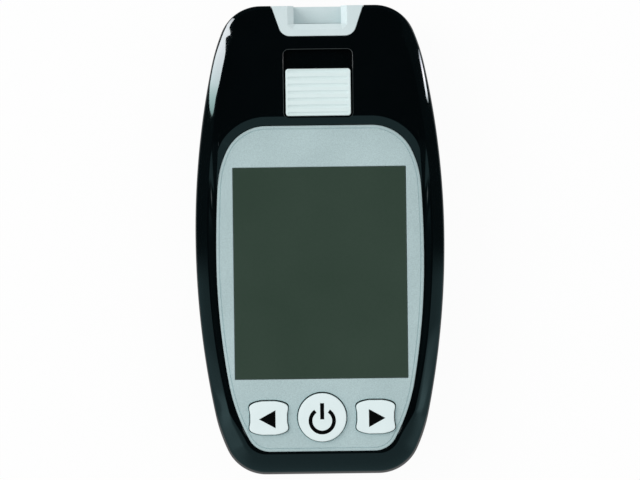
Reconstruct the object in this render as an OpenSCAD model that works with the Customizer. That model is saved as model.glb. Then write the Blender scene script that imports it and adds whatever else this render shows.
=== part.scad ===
// Blood glucose meter: a glossy two-part case with a sunk face plate, a display window,
// three buttons, a strip port with an ejector slide, and a sliding battery cover.
// The meter lies on its back: +X to the right of the display, +Y to the strip port, +Z up.

/* [Case] */
// Length of the meter
body_length = 100; // [96:1:110]
// Width at the widest place
body_width = 53.2; // [52.4:0.2:60]
// Height from the back to the top of the raised deck
body_height = 20.4; // [20:0.2:26]
// How far the widest place lies above the middle of the length
widest_offset = 0.6; // [0:0.1:3]
// Height of the seam between the two casings
seam_height = 9.5; // [9:0.1:10.5]
// Wall of both casings
wall = 1.8; // [1.5:0.1:2.2]
// Width of the sloping band round the front, along the sides
band_width = 2.6; // [2.2:0.1:3]
// Width of the band at the lower end
band_lower_width = 4.5; // [3.4:0.1:4.6]
// Width of the band at the port end
band_upper_width = 0.8; // [0.6:0.1:1.4]
// Width of the rounded edge round the back
back_edge = 5.5; // [4:0.1:6.5]
// Radius of the four corners of the case
corner_radius = 9.14; // [8:0.1:10]
// Radius of the shoulders beside the strip port
shoulder_radius = 43; // [35:1:55]
// Radius of the lower shoulders
lower_shoulder_radius = 34; // [28:1:45]
// Height of the tongue that locates the two casings
tongue_height = 1.1; // [0.8:0.1:1.6]

/* [Face] */
// Depth of the face plate below the raised deck
deck_rise = 1.25; // [1.1:0.05:1.8]
// Height of the low rim above the face plate
rim_rise = 0.15; // [0.15:0.05:0.5]
// How far the deck and the rim fall off from the middle to the sides
cross_fall = 0.12; // [0.04:0.02:0.16]
// How far the rim falls off below the buttons
tail_fall = 0.02; // [0:0.01:0.04]
// Slope of the wall round the face plate
recess_slope = 34; // [28:1:45]
// Length of the raised deck above the face plate
deck_length = 25.56; // [25:0.1:28]
// Length of the rim below the face plate
tail_length = 4.96; // [4.4:0.1:6]
// Width of the rim on each side of the face plate
rim_width = 4.44; // [4:0.1:6]
// Thickness of the face plate
plate_thickness = 1; // [0.8:0.1:1.2]
// Thickness of the case floor under the face plate
floor_thickness = 1.5; // [1.2:0.1:1.8]
// Top corner radius of the face plate
plate_top_radius = 9.44; // [7:0.1:11]
// Bottom corner radius of the face plate
plate_bottom_radius = 5.1; // [4:0.1:7]

/* [Display] */
// Face plate above the window
window_top_margin = 8.84; // [7:0.1:11]
// Face plate below the window
window_bottom_margin = 15.44; // [15:0.1:18]
// Face plate on each side of the window
window_side_margin = 3.66; // [3:0.1:6]
// Width of the floor ledge that carries the lens
lens_ledge = 1; // [0.6:0.1:1.4]
// Thickness of the display glass
glass_thickness = 1.8; // [1.4:0.1:2]
// Margin of the display glass round the window
glass_margin = 1.1; // [0.8:0.1:1.2]
// Margin of the display glass above the window, over the connector strip
glass_top_margin = 3.7; // [3.5:0.1:4]
// Thickness of the gasket between glass and case
gasket_thickness = 0.4; // [0.3:0.1:0.6]
// Height of the connector strip under the glass
connector_strip_height = 1.4; // [1.2:0.1:1.8]
// Wall of the frame that holds the glass
frame_wall = 0.7; // [0.5:0.1:0.8]

/* [Buttons] */
// Height of the button row above the bottom edge of the face plate
button_row = 7.25; // [7.2:0.05:8]
// Distance from the middle to each side button
button_spacing = 11.4; // [11.4:0.05:12]
// Diameter of the power button
power_diameter = 10.3; // [9.6:0.1:10.4]
// Width of a side button
side_button_width = 9; // [8:0.1:9.2]
// Height of a side button
side_button_height = 7.3; // [6:0.1:7.4]
// How far the buttons stand above the face plate
button_proud = 0.9; // [0.7:0.05:1.2]
// Travel of each button
button_travel = 0.5; // [0.3:0.05:0.6]
// Gap round each button
button_gap = 0.2; // [0.15:0.01:0.25]
// Width of the lugs that keep a button in the case
button_lug = 0.5; // [0.4:0.05:0.55]

/* [Strip port and ejector] */
// Width of the port insert at the end of the case
port_width = 18.7; // [17.6:0.1:20]
// Width of the port insert at its inner end
port_inner_width = 14.2; // [14:0.1:16]
// Length of the port insert
port_length = 6.6; // [6:0.1:7]
// Width of the finger notch in the port
notch_width = 10.1; // [9:0.1:11]
// Length of the finger notch
notch_length = 3.9; // [3:0.1:4]
// Width of the bevel round the notch
notch_bevel = 1.3; // [1:0.1:1.5]
// Width of the slot for a test strip
strip_width = 6.6; // [6:0.1:7]
// Height of the slot for a test strip
strip_slot = 0.8; // [0.6:0.05:1]
// Width of the ejector track
track_width = 14.7; // [14:0.05:16]
// Length of the ejector track
track_length = 14.55; // [14.2:0.05:15.4]
// Depth of the track below the deck
track_depth = 1.6; // [1.4:0.1:1.8]
// Thickness of the track floor
track_floor = 1; // [0.8:0.1:1.2]
// Length of the ejector thumb pad
pad_length = 10.1; // [10:0.05:11]
// Gap round the thumb pad
pad_gap = 0.35; // [0.25:0.05:0.5]
// How far the thumb pad stands above the deck
pad_proud = 0.5; // [0.3:0.1:0.8]
// Number of grooves across the thumb pad
pad_grooves = 7; // [4:1:8]
// Distance of the first and the last groove from the ends of the pad
groove_margin = 0.55; // [0.5:0.05:1]
// Depth of the thumb pad grooves
groove_depth = 0.25; // [0.15:0.05:0.3]

/* [Board and batteries] */
// Thickness of the main board
board_thickness = 1.2; // [0.8:0.1:1.4]
// Space between the board's edge and the outside of the case
board_inset = 3; // [2.6:0.1:3.4]
// Diameter of a coin cell
cell_diameter = 20; // [16:0.5:20.5]
// Thickness of a coin cell
cell_thickness = 3.2; // [2:0.1:3.4]
// Play round each coin cell
cell_play = 0.35; // [0.2:0.05:0.4]
// Wall of the battery bay
bay_wall = 1.2; // [0.9:0.1:1.4]
// Thickness of the battery cover
cover_thickness = 1.6; // [1.2:0.1:1.7]
// Running clearance of the battery cover
cover_clearance = 0.15; // [0.1:0.01:0.2]
// Width of the tongues along the battery cover
cover_tongue = 1; // [0.7:0.1:1.2]
// Distance of the bay from the lower end
bay_end_gap = 4; // [3.9:0.1:5]

/* [Fasteners] */
// Shank diameter of a case screw
screw_diameter = 1.8; // [1.4:0.1:2]
// Head diameter of a case screw
screw_head = 3.4; // [3:0.1:3.8]
// Outer diameter of a screw boss
boss_diameter = 4.4; // [4.2:0.1:5]
// Shank diameter of a board screw
board_screw_diameter = 1.3; // [1:0.1:1.5]
// Head diameter of a board screw
board_screw_head = 2.6; // [2.2:0.1:3]

/* [Hidden] */

$fn = 48;
snug = 0.08;          // gap between pieces that are fitted once and stay
slip = 0.1;           // gap between a screw and its hole
over = 0.5;           // how far a cutter runs past the face that it opens
back_power = 2.3;     // fullness of the rounded edge at the back
side_steps = 11;      // points along each long side arc
shoulder_steps = 4;   // points along each shoulder arc
corner_steps = 8;     // points along each corner arc
edge_steps = 8;       // rings across the rounded edge at the back

gloss_black = [0.03, 0.04, 0.05];
plate_silver = [0.68, 0.77, 0.78];
window_green = [0.20, 0.27, 0.23];
cap_white = [0.86, 0.91, 0.92];
metal = [0.75, 0.76, 0.74];
board_green = [0.10, 0.38, 0.24];
chip_black = [0.12, 0.12, 0.13];

half_length = body_length / 2;
half_width = body_width / 2;

// Heights, counted down from the deck to the main board
plate_z = body_height - deck_rise;
seat_z = plate_z - plate_thickness;
floor_z = seat_z - floor_thickness;
glass_top = floor_z - gasket_thickness;
glass_bottom = glass_top - glass_thickness;
board_top = glass_bottom - connector_strip_height;
board_bottom = board_top - board_thickness;
track_z = body_height - track_depth;
carriage_roof = track_z - track_floor;

// Heights, counted up from the back to the battery bay's roof
cell_z = cover_thickness + cell_play;
leaf_thickness = 0.3;
bay_roof = cell_z + cell_thickness + leaf_thickness + 0.1;
bay_top = bay_roof + bay_wall;

// Places along the length
plate_top_y = half_length - deck_length;
plate_bottom_y = -half_length + tail_length;
plate_widest_y = widest_offset - 3.8;
window_top_y = plate_top_y - window_top_margin;
window_bottom_y = plate_bottom_y + window_bottom_margin;
button_y = plate_bottom_y + button_row;
track_y = plate_top_y + 1.63;
pad_y = track_y + pad_gap;
pad_travel = track_length - pad_length - 2 * pad_gap;
port_y = half_length - port_length;
notch_y = half_length - notch_length;

// Widths
plate_half = half_width - rim_width;
window_half = plate_half - window_side_margin;
glass_half = window_half + glass_margin;

// Five numbers say how a quarter of an outline turns: the side arc's turn, the shoulder arc's
// radius and turn, and the corner arc's radius. The side arc's own radius follows from them.
case_top = [12.06, shoulder_radius, 9.91, corner_radius];
case_bottom = [11.67, lower_shoulder_radius, 13.28, corner_radius];
plate_top_arcs = [3.56, 19.5, 22.96, plate_top_radius];
plate_bottom_arcs = [9.87, 40.2, 18.5, plate_bottom_radius];

function arc(centre, radius, from, to, steps) =
    [for (i = [0:steps - 1]) let (a = from + (to - from) * i / steps)
        centre + radius * [cos(a), sin(a)]];

// A quarter outline from (half, 0) round to the flat end at height rise
function quarter(half, rise, arcs, inset) =
    let (
        side = arcs[0],
        turned = arcs[0] + arcs[2],
        shoulder_r = arcs[1],
        corner_r = arcs[3],
        below = shoulder_r * (sin(turned) - sin(side)) + corner_r * (1 - sin(turned)),
        side_r = (rise - below) / sin(side),
        c1 = [half - side_r, 0],
        c2 = c1 + (side_r - shoulder_r) * [cos(side), sin(side)],
        c3 = c2 + (shoulder_r - corner_r) * [cos(turned), sin(turned)]
    )
    concat(
        arc(c1, side_r - inset, 0, side, side_steps),
        arc(c2, shoulder_r - inset, side, turned, shoulder_steps),
        arc(c3, corner_r - inset, turned, 90, corner_steps),
        [c3 + [0, corner_r - inset]]
    );

function reversed(list) = [for (i = [len(list) - 1:-1:0]) list[i]];
function tail(list) = [for (i = [1:len(list) - 1]) list[i]];

// A whole outline, anticlockwise, with its widest place at height widest
function outline(half, rise, drop, top_arcs, bottom_arcs, widest, inset) =
    let (
        up = quarter(half, rise, top_arcs, inset),
        down = quarter(half, drop, bottom_arcs, inset)
    )
    concat(
        [for (p = up) [p[0], widest + p[1]]],
        [for (p = reversed(tail(up))) [-p[0], widest + p[1]]],
        [for (p = down) [-p[0], widest - p[1]]],
        [for (p = reversed(tail(down))) [p[0], widest - p[1]]]
    );

function case_outline(inset) =
    outline(half_width, half_length - widest_offset, half_length + widest_offset,
            case_top, case_bottom, widest_offset, inset);

function plate_outline(inset) =
    outline(plate_half, plate_top_y - plate_widest_y, plate_widest_y - plate_bottom_y,
            plate_top_arcs, plate_bottom_arcs, plate_widest_y, inset);

// How the front rises from the low rim to the deck, and falls off to both sides and to the tail
rise_start_y = plate_top_y - 15.2;
rise_end_y = plate_top_y - 2.4;
tail_start_y = plate_bottom_y + 8;
function eased(s) = let (t = min(1, max(0, s))) t * t * (3 - 2 * t);
function front_height(p) =
    plate_z + rim_rise
    + (deck_rise - rim_rise) * eased((p[1] - rise_start_y) / (rise_end_y - rise_start_y))
    - cross_fall * pow(p[0] / half_width, 2)
    - tail_fall * eased((tail_start_y - p[1]) / (tail_start_y - plate_bottom_y));

// The band's section in shares of its width, from the side wall up to the face: a round, a
// gentle bow that flattens from the steep to the shallow slope, and a round again
wall_lean = 0.05;
steep_slope = 43;
shallow_slope = 21;
outer_round = 0.12;
inner_round = 0.1;
bow_round = (1 - outer_round * (1 - sin(steep_slope)) - inner_round * sin(shallow_slope))
    / (sin(steep_slope) - sin(shallow_slope));
function bend(start, radius, from, to, steps) =
    [for (i = [1:steps]) let (a = from + (to - from) * i / steps)
        start + radius * [sin(from) - sin(a), cos(a) - cos(from)]];
function last(list) = list[len(list) - 1];
outer_bend = bend([0, 0], outer_round, 90, steep_slope, 3);
bow_bend = bend(last(outer_bend), bow_round, steep_slope, shallow_slope, 3);
inner_bend = bend(last(bow_bend), inner_round, shallow_slope, 0, 2);
band_section = concat([[0, 0]], outer_bend, bow_bend, inner_bend);
band_fall = last(band_section)[1];

// The band is widest round the lower end and narrowest at the port end. Its width changes while
// the outline turns through these shares of facing up or down
upper_turn = [0.3, 0.9];
lower_turn = [0.1, 0.42];
function band_at(facing) =
    let (
        end_width = facing > 0 ? band_upper_width : band_lower_width,
        turn = facing > 0 ? upper_turn : lower_turn
    )
    band_width + (end_width - band_width) * eased((abs(facing) - turn[0]) / (turn[1] - turn[0]));

// The band climbs evenly from the lower end to the start of the deck
climb_end_y = plate_top_y;
function band_height(p) =
    plate_z + rim_rise
    + (deck_rise - rim_rise) * min(1, (p[1] + half_length) / (climb_end_y + half_length))
    - cross_fall * pow(p[0] / half_width, 2);

function band_ring(section) =
    let (outer = case_outline(0), inner = case_outline(1))
    [for (i = [0:len(outer) - 1])
        let (
            width = band_at(outer[i][1] - inner[i][1]),
            p = outer[i] + (inner[i] - outer[i]) * (wall_lean + width * section[0])
        )
        [p[0], p[1], band_height(p) - width * (band_fall - section[1])]];

// Rings inside the band close sideways towards the middle line
face_inset = 4.75;
function face_ring(share) =
    [for (p = case_outline(face_inset))
        let (q = [p[0] * share, p[1] * (0.94 + 0.06 * share)])
        [q[0], q[1], front_height(q)]];

// A ring at angle t of the rounded edge's section
function back_ring(t) =
    [for (p = case_outline(back_edge * (1 - pow(cos(t), 2 / back_power))))
        [p[0], p[1], seam_height * (1 - pow(sin(t), 2 / back_power))]];

// The faces between rings of n points each
function ring_faces(n, m) =
    [for (j = [0:m - 2]) for (i = [0:n - 1]) let (a = j * n + i, b = j * n + (i + 1) % n)
        each [[a, a + n, b + n], [a, b + n, b]]];

// A closed skin over rings of equal length, lowest ring first
module loft(rings) {
    n = len(rings[0]);
    m = len(rings);
    bottom = [[for (i = [0:n - 1]) i]];
    top = [[for (i = [n - 1:-1:0]) (m - 1) * n + i]];
    polyhedron([for (ring = rings) each ring], concat(bottom, ring_faces(n, m), top));
}

// The same, closed on top by strips that join the right side of the last ring to its left side
module strip_loft(rings) {
    n = len(rings[0]);
    m = len(rings);
    k = (m - 1) * n;
    quarter_points = side_steps + shoulder_steps + corner_steps;
    right = concat([for (i = [quarter_points:-1:0]) i],
                   [for (i = [1:quarter_points]) n - i]);
    left = [for (i = right) (2 * quarter_points + 1 - i + n) % n];
    bottom = [[for (i = [0:n - 1]) i]];
    strips = [for (j = [0:len(right) - 2])
        each [[k + right[j], k + right[j + 1], k + left[j + 1]],
              [k + right[j], k + left[j + 1], k + left[j]]]];
    polyhedron([for (ring = rings) each ring], concat(bottom, ring_faces(n, m), strips));
}

module case_prism(inset, from, to)
    translate([0, 0, from]) linear_extrude(to - from) polygon(case_outline(inset));

module plate_prism(inset, from, to)
    translate([0, 0, from]) linear_extrude(to - from) polygon(plate_outline(inset));

// A block between two corners
module block(low, high)
    translate(low) cube(high - low);

module post(at, diameter, from, to)
    translate([at[0], at[1], from]) cylinder(d = diameter, h = to - from);

module front_skin()
    strip_loft(concat([[for (p = case_outline(0)) [p[0], p[1], seam_height]]],
                      [for (section = band_section) band_ring(section)],
                      [for (share = [1, 0.6, 0.25]) face_ring(share)]));

module back_skin()
    loft([for (i = [edge_steps:-1:0]) back_ring(90 * i / edge_steps)]);

// The recess for the face plate: an upright pocket, then a wall that leans outwards
recess_reach = 2.4;
module face_recess() {
    plate_prism(-snug, seat_z, plate_z + 0.01);
    loft([
        [for (p = plate_outline(-snug)) [p[0], p[1], plate_z]],
        [for (p = plate_outline(-snug - recess_reach / tan(recess_slope)))
            [p[0], p[1], plate_z + recess_reach]]
    ]);
}

// Screw places, each counted from the side and the end of the case, or from the display frame
board_boss = 4;
upper_screw_in = 11.1;
lower_screw_in = 10.1;
upper_board_screw_in = 7.2;
lower_board_screw_in = 8.1;
upper_screw = [half_width - upper_screw_in, half_length - 9.5];
lower_screw = [half_width - lower_screw_in, -half_length + 6.4];
case_screw_places = [for (p = [upper_screw, lower_screw]) for (s = [-1, 1]) [s * p[0], p[1]]];
frame_top_y = window_top_y + glass_top_margin + frame_wall;
frame_bottom_y = window_bottom_y - glass_margin - frame_wall;
upper_board_screw = [half_width - upper_board_screw_in, frame_top_y + board_boss / 2 + 0.8];
lower_board_screw = [half_width - lower_board_screw_in, frame_bottom_y - board_boss / 2 - 1.8];
board_screw_places =
    [for (p = [upper_board_screw, lower_board_screw]) for (s = [-1, 1]) [s * p[0], p[1]]];

// Side button outline: arched along the top and bottom, waisted on the left and right
button_squareness = 7;
button_arch = 0.25;
button_waist = 0.14;
button_points = 56;
function spread(v) = sign(v) * pow(abs(v), 2 / button_squareness);
function side_button_outline(margin) =
    let (w = side_button_width / 2, h = side_button_height / 2)
    [for (i = [0:button_points - 1])
        let (a = 360 * (i + 0.5) / button_points, u = spread(cos(a)), v = spread(sin(a)))
        [(w * (1 - button_waist * (1 - v * v)) + margin) * u,
         (h * (1 - button_arch * u * u) + margin) * v]];

// The port insert is a wedge that narrows inwards, with round inner corners
port_corner = 2.5;
port_corner_inset = 1.28;
port_slant = atan((port_width - port_inner_width) / 2 / port_length);
port_bottom = seam_height + 1.5;
function port_outline(margin) =
    let (
        r = port_corner + margin,
        c = [port_inner_width / 2 - port_corner_inset, port_y + port_corner]
    )
    concat(
        [[port_width / 2 + margin + 0.2, half_length + over]],
        [for (i = [0:corner_steps]) let (a = -port_slant - (90 - port_slant) * i / corner_steps)
            c + r * [cos(a), sin(a)]],
        [for (i = [corner_steps:-1:0]) let (a = -port_slant - (90 - port_slant) * i / corner_steps)
            [-c[0] - r * cos(a), c[1] + r * sin(a)]],
        [[-port_width / 2 - margin - 0.2, half_length + over]]
    );

module port_prism(margin, from)
    translate([0, 0, from]) linear_extrude(body_height + over - from)
        polygon(port_outline(margin));

strip_drop = 1.1;
strip_z = glass_top - strip_drop;
carriage_thickness = 1.2;
carriage_play = 0.15;
carriage_top = carriage_roof - carriage_play;
carriage_bottom = carriage_top - carriage_thickness;
carriage_half = 8;
carriage_length = 8;
carriage_in = 1.2;
carriage_y = pad_y + carriage_in;
spring_stop = 1;
carriage_bay_end = port_y - spring_stop;
neck_half = 2.2;
neck_length = 2;
neck_in = 4.3;
neck_y = pad_y + neck_in;
spring_x = 5.5;
connector_length = 10.2;
connector_gap = 0.4;
connector_y = port_y - connector_gap - connector_length;
connector_half = 7;

cavity_step = 1.8;
cavity_step_in = 0.7;
boss_root = 0.1;
thread_roof = 0.6;
module front_case() color(gloss_black) difference() {
    union() {
        difference() {
            front_skin();
            case_prism(wall, seam_height - over, floor_z - cavity_step);
            case_prism(wall + cavity_step_in, floor_z - cavity_step - 0.05, floor_z);
            case_prism(wall / 2, seam_height - over, seam_height + tongue_height + snug);
            deck_pockets();
        }
        for (p = case_screw_places)
            post(p, boss_diameter, seam_height, (p[1] > 0 ? pocket_roof : floor_z) + boss_root);
        for (p = board_screw_places) post(p, board_boss, board_top, floor_z + boss_root);
    }
    face_recess();
    block([-window_half + lens_ledge, window_bottom_y + lens_ledge, floor_z - over],
          [window_half - lens_ledge, window_top_y - lens_ledge, seat_z + over]);
    translate([0, button_y, floor_z - over])
        cylinder(d = power_diameter + 2 * button_gap, h = floor_thickness + 2 * over);
    for (s = [-1, 1])
        translate([s * button_spacing, button_y, floor_z - over])
            linear_extrude(floor_thickness + 2 * over) polygon(side_button_outline(button_gap));
    port_prism(snug, port_bottom);
    track();
    for (p = case_screw_places)
        post(p, screw_diameter + 2 * slip, seam_height - over, floor_z - thread_roof);
    for (p = board_screw_places)
        post(p, board_screw_diameter + 2 * slip, board_top - over, floor_z - thread_roof);
}

// Hollows under the deck beside the ejector
deck_wall = 2.3;
pocket_side = 1.6;
pocket_low = 4.5;
pocket_high = 2;
pocket_roof = body_height - deck_wall;
module deck_pockets() {
    for (s = [0, 1]) mirror([s, 0, 0])
        intersection() {
            case_prism(band_width + deck_wall, floor_z - 0.05, pocket_roof);
            block([carriage_half + pocket_side, plate_top_y + pocket_low, floor_z - over],
                  [half_width, port_y + pocket_high, body_height]);
        }
}

// The ejector's track, the slot through its floor, and the carriage's room below
track_corner = 1.1;
module track() {
    translate([0, track_y, track_z]) rounded_block(track_width, track_length, track_corner, 4);
    block([-neck_half - 0.2, neck_y - 0.2, floor_z - over],
          [neck_half + 0.2, neck_y + neck_length + pad_travel + 0.2, track_z + over]);
    block([-carriage_half - 0.3, carriage_y - 0.3, floor_z - over],
          [carriage_half + 0.3, carriage_bay_end, carriage_roof]);
}

// A block with upright round corners, centred on X and running up +Y from the origin
module rounded_block(width, length, radius, height)
    linear_extrude(height) polygon(concat(
        arc([width / 2 - radius, length - radius], radius, 0, 90, 6),
        arc([-width / 2 + radius, length - radius], radius, 90, 180, 6),
        arc([-width / 2 + radius, radius], radius, 180, 270, 6),
        arc([width / 2 - radius, radius], radius, 270, 360, 6)
    ));

bay_half = cell_diameter / 2 + cell_play;
bay_low_y = -half_length + bay_end_gap;
bay_high_y = bay_low_y + 2 * cell_diameter + 3 * cell_play;
lower_cell_y = bay_low_y + cell_play + cell_diameter / 2;
upper_cell_y = bay_high_y - cell_play - cell_diameter / 2;
cover_side = 0.9;
cover_end = 0.6;
cover_half = bay_half + bay_wall + cover_side;
cover_top_y = bay_high_y + bay_wall + cover_end;
cover_room = cover_thickness + cover_clearance;
tongue_z = cover_thickness / 2;

back_step = 3.4;
back_step_in = 1.6;
module rear_case() color(gloss_black) difference() {
    union() {
        difference() {
            back_skin();
            case_prism(wall, back_step, seam_height + over);
            case_prism(wall + back_step_in, wall, back_step + 0.05);
        }
        locating_tongue();
        intersection() {
            back_skin();
            union() {
                battery_bay();
                stiffening_ribs();
                for (p = case_screw_places) post(p, boss_diameter, 0, seam_height);
            }
        }
    }
    cover_cut();
    for (p = case_screw_places) {
        post(p, screw_diameter + 2 * slip, -over, seam_height + over);
        post(p, screw_head + 4 * slip, -over, screw_seat);
    }
    contact_holes();
}

// The raised tongue that sits inside the front case's wall
module locating_tongue() difference() {
    case_prism(wall / 2 + snug, seam_height - 0.6, seam_height + tongue_height - snug);
    case_prism(wall, seam_height - over - 0.2, seam_height + tongue_height + over);
    for (p = case_screw_places) post(p, boss_diameter + 0.4, seam_height, seam_height + 3);
    block([-port_width, port_y - 2, seam_height], [port_width, half_length, seam_height + 3]);
}

module battery_bay() {
    difference() {
        block([-bay_half - bay_wall, bay_low_y - bay_wall - 2, cover_room],
              [bay_half + bay_wall, bay_high_y + bay_wall, bay_top]);
        block([-bay_half, bay_low_y, 0], [bay_half, bay_high_y, bay_roof]);
    }
    block([-cover_half - 1, bay_high_y, wall - 0.1],
          [cover_half + 1, bay_high_y + bay_wall, bay_roof]);
}

rib_thickness = 1;
rib_count = 5;
module stiffening_ribs()
    for (i = [0:rib_count - 1], s = [0, 1]) mirror([s, 0, 0]) {
        y = bay_low_y + 8 + i * (bay_high_y - bay_low_y - 8) / (rib_count - 1);
        block([cover_half + cover_tongue + 0.6, y - rib_thickness / 2, wall / 2],
              [half_width, y + rib_thickness / 2, bay_roof]);
        block([bay_half + bay_wall / 2, y - rib_thickness / 2, cover_room + 0.8],
              [half_width, y + rib_thickness / 2, bay_roof]);
    }

// Room for the battery cover and, higher up, for its side tongues
module cover_cut() {
    block([-cover_half - cover_clearance, -half_length - over, -over],
          [cover_half + cover_clearance, cover_top_y + cover_clearance, cover_room]);
    block([-cover_half - cover_tongue - cover_clearance, -half_length - over,
           tongue_z - cover_clearance],
          [cover_half + cover_tongue + cover_clearance, cover_top_y + cover_clearance, cover_room]);
}

screw_seat = 2.4;
module case_screws() color(metal)
    for (p = case_screw_places) {
        post(p, screw_head, screw_seat - 1.3, screw_seat);
        post(p, screw_diameter, screw_seat, floor_z - 1.6);
    }

module board_screws() color(metal)
    for (p = board_screw_places) {
        post(p, board_screw_head, board_bottom - 0.8, board_bottom);
        post(p, board_screw_diameter, board_bottom, floor_z - 1);
    }

plate_bevel = 0.3;
module face_plate() color(plate_silver) difference() {
    loft([
        for (s = [[0, 0], [0, plate_thickness - plate_bevel], [plate_bevel, plate_thickness]])
            [for (p = plate_outline(s[0])) [p[0], p[1], seat_z + s[1]]]
    ]);
    block([-window_half, window_bottom_y, seat_z - over],
          [window_half, window_top_y, plate_z + over]);
    translate([0, button_y, seat_z - over])
        cylinder(d = power_diameter + 2 * button_gap, h = plate_thickness + 2 * over);
    for (s = [-1, 1])
        translate([s * button_spacing, button_y, seat_z - over])
            linear_extrude(plate_thickness + 2 * over) polygon(side_button_outline(button_gap));
}

module display_lens() color(window_green)
    block([-window_half + snug, window_bottom_y + snug, seat_z],
          [window_half - snug, window_top_y - snug, plate_z - 0.05]);

module display_gasket() color(chip_black) difference() {
    block([-glass_half, window_bottom_y - glass_margin, glass_top],
          [glass_half, window_top_y + glass_top_margin, floor_z]);
    block([-window_half + lens_ledge, window_bottom_y + lens_ledge, glass_top - over],
          [window_half - lens_ledge, window_top_y - lens_ledge, floor_z + over]);
}

module display_glass() color(window_green)
    block([-glass_half, window_bottom_y - glass_margin, glass_bottom],
          [glass_half, window_top_y + glass_top_margin, glass_top]);

module display_frame() color(cap_white) difference() {
    block([-glass_half - frame_wall, window_bottom_y - glass_margin - frame_wall, board_top],
          [glass_half + frame_wall, frame_top_y, glass_top]);
    block([-glass_half - snug, window_bottom_y - glass_margin - snug, glass_bottom],
          [glass_half + snug, window_top_y + glass_top_margin + snug, glass_top + over]);
    block([-window_half, window_bottom_y + 0.4, board_top - over],
          [window_half, window_top_y + glass_top_margin - 0.4, glass_top]);
}

strip_depth = 2.4;
module connector_strip() color(chip_black)
    block([-window_half + 0.6, window_top_y + glass_top_margin - 0.7 - strip_depth, board_top],
          [window_half - 0.6, window_top_y + glass_top_margin - 0.7, glass_bottom]);

cap_z = floor_z - 1.1;
lug_top = floor_z - 0.25;
cap_top = plate_z + button_proud;
switch_top = cap_z - button_travel - 0.2;
edge_break = 0.35;

module power_button() color(cap_white) translate([0, button_y, 0]) {
    r = power_diameter / 2;
    rotate_extrude() polygon([
        [0, cap_z], [r, cap_z], [r, cap_top - edge_break],
        [r - edge_break * 0.3, cap_top - edge_break * 0.3], [r - edge_break, cap_top],
        [0, cap_top]
    ]);
    for (s = [-1, 1])
        block([s > 0 ? r - 0.4 : -r - button_gap - button_lug, -1, cap_z],
              [s > 0 ? r + button_gap + button_lug : -r + 0.4, 1, lug_top]);
}

module side_button(side) color(cap_white) translate([side * button_spacing, button_y, 0]) {
    loft([
        for (s = [[0, cap_z], [0, cap_top - edge_break],
                  [-edge_break * 0.3, cap_top - edge_break * 0.3], [-edge_break, cap_top]])
            [for (p = side_button_outline(s[0])) [p[0], p[1], s[1]]]
    ]);
    h = side_button_height / 2;
    for (s = [-1, 1])
        block([-1.5, s > 0 ? h - 0.6 : -h - button_gap - button_lug, cap_z],
              [1.5, s > 0 ? h + button_gap + button_lug : -h + 0.6, lug_top]);
}
module left_button() side_button(-1);
module right_button() side_button(1);

switch_width = 5.2;
plunger_diameter = 2.6;
plunger_room = 0.9;
module tact_switch(x) color(chip_black) difference() {
    block([x - switch_width / 2, button_y - switch_width / 2, board_top],
          [x + switch_width / 2, button_y + switch_width / 2, switch_top]);
    post([x, button_y], plunger_diameter + 2 * slip, board_top + 0.4, switch_top + over);
}
module power_switch() tact_switch(0);
module left_switch() tact_switch(-button_spacing);
module right_switch() tact_switch(button_spacing);

module plunger(x) color(cap_white)
    post([x, button_y], plunger_diameter, board_top + 0.4 + button_travel + 0.1, cap_z);
module power_plunger() plunger(0);
module left_plunger() plunger(-button_spacing);
module right_plunger() plunger(button_spacing);

notch_floor = strip_z - 0.1;
notch_line_width = 0.3;
notch_line_depth = 0.4;

// The bevel round the notch flares upwards, and its two inner corners are cut off
bevel_flare = 1.1;
bevel_overrun = 0.1;
bevel_cut = 1.2;
bevel_foot_cut = 0.15;
function bevel_ring(grow, cut, height) =
    let (x = notch_width / 2 + grow, y = notch_y - grow)
    [[x, half_length + over, height], [-x, half_length + over, height],
     [-x, y + cut, height], [-x + cut, y, height], [x - cut, y, height], [x, y + cut, height]];

module strip_port() color(cap_white) difference() {
    intersection() {
        front_skin();
        port_prism(0, port_bottom + snug);
    }
    notch_half = notch_width / 2;
    block([-notch_half, notch_y, notch_floor], [notch_half, half_length + over, body_height + over]);
    block([-notch_half, notch_y, notch_floor - notch_line_depth],
          [notch_half, notch_y + notch_line_width, notch_floor + over]);
    loft([
        bevel_ring(0, bevel_foot_cut, body_height - notch_bevel),
        bevel_ring(notch_bevel * bevel_flare, bevel_cut, body_height + notch_bevel * bevel_overrun)
    ]);
    block([-strip_width / 2, port_y - over, strip_z],
          [strip_width / 2, notch_y + over, strip_z + strip_slot]);
}

pad_side_gap = 0.4;
pad_width = track_width - 2 * pad_side_gap;
pad_corner = 0.65;
groove_inset = 0.4;
groove_radius = 0.4;
pad_top = body_height + pad_proud;
pad_bottom = track_z + 0.15;
module eject_pad() color(cap_white) difference() {
    union() {
        translate([0, pad_y, pad_bottom])
            rounded_block(pad_width, pad_length, pad_corner, pad_top - pad_bottom);
        block([-neck_half, neck_y, carriage_top],
              [neck_half, neck_y + neck_length, pad_bottom + 0.1]);
    }
    pitch = (pad_length - 2 * groove_margin) / (pad_grooves - 1);
    for (i = [0:pad_grooves - 1])
        translate([-pad_width / 2 + groove_inset, pad_y + groove_margin + i * pitch,
                   pad_top + groove_radius - groove_depth])
            rotate([0, 90, 0]) cylinder(r = groove_radius, h = pad_width - 2 * groove_inset);
    post([0, neck_y + neck_length / 2], slide_screw_diameter + 2 * slip,
         carriage_top - over, track_z + 0.6);
}

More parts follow.
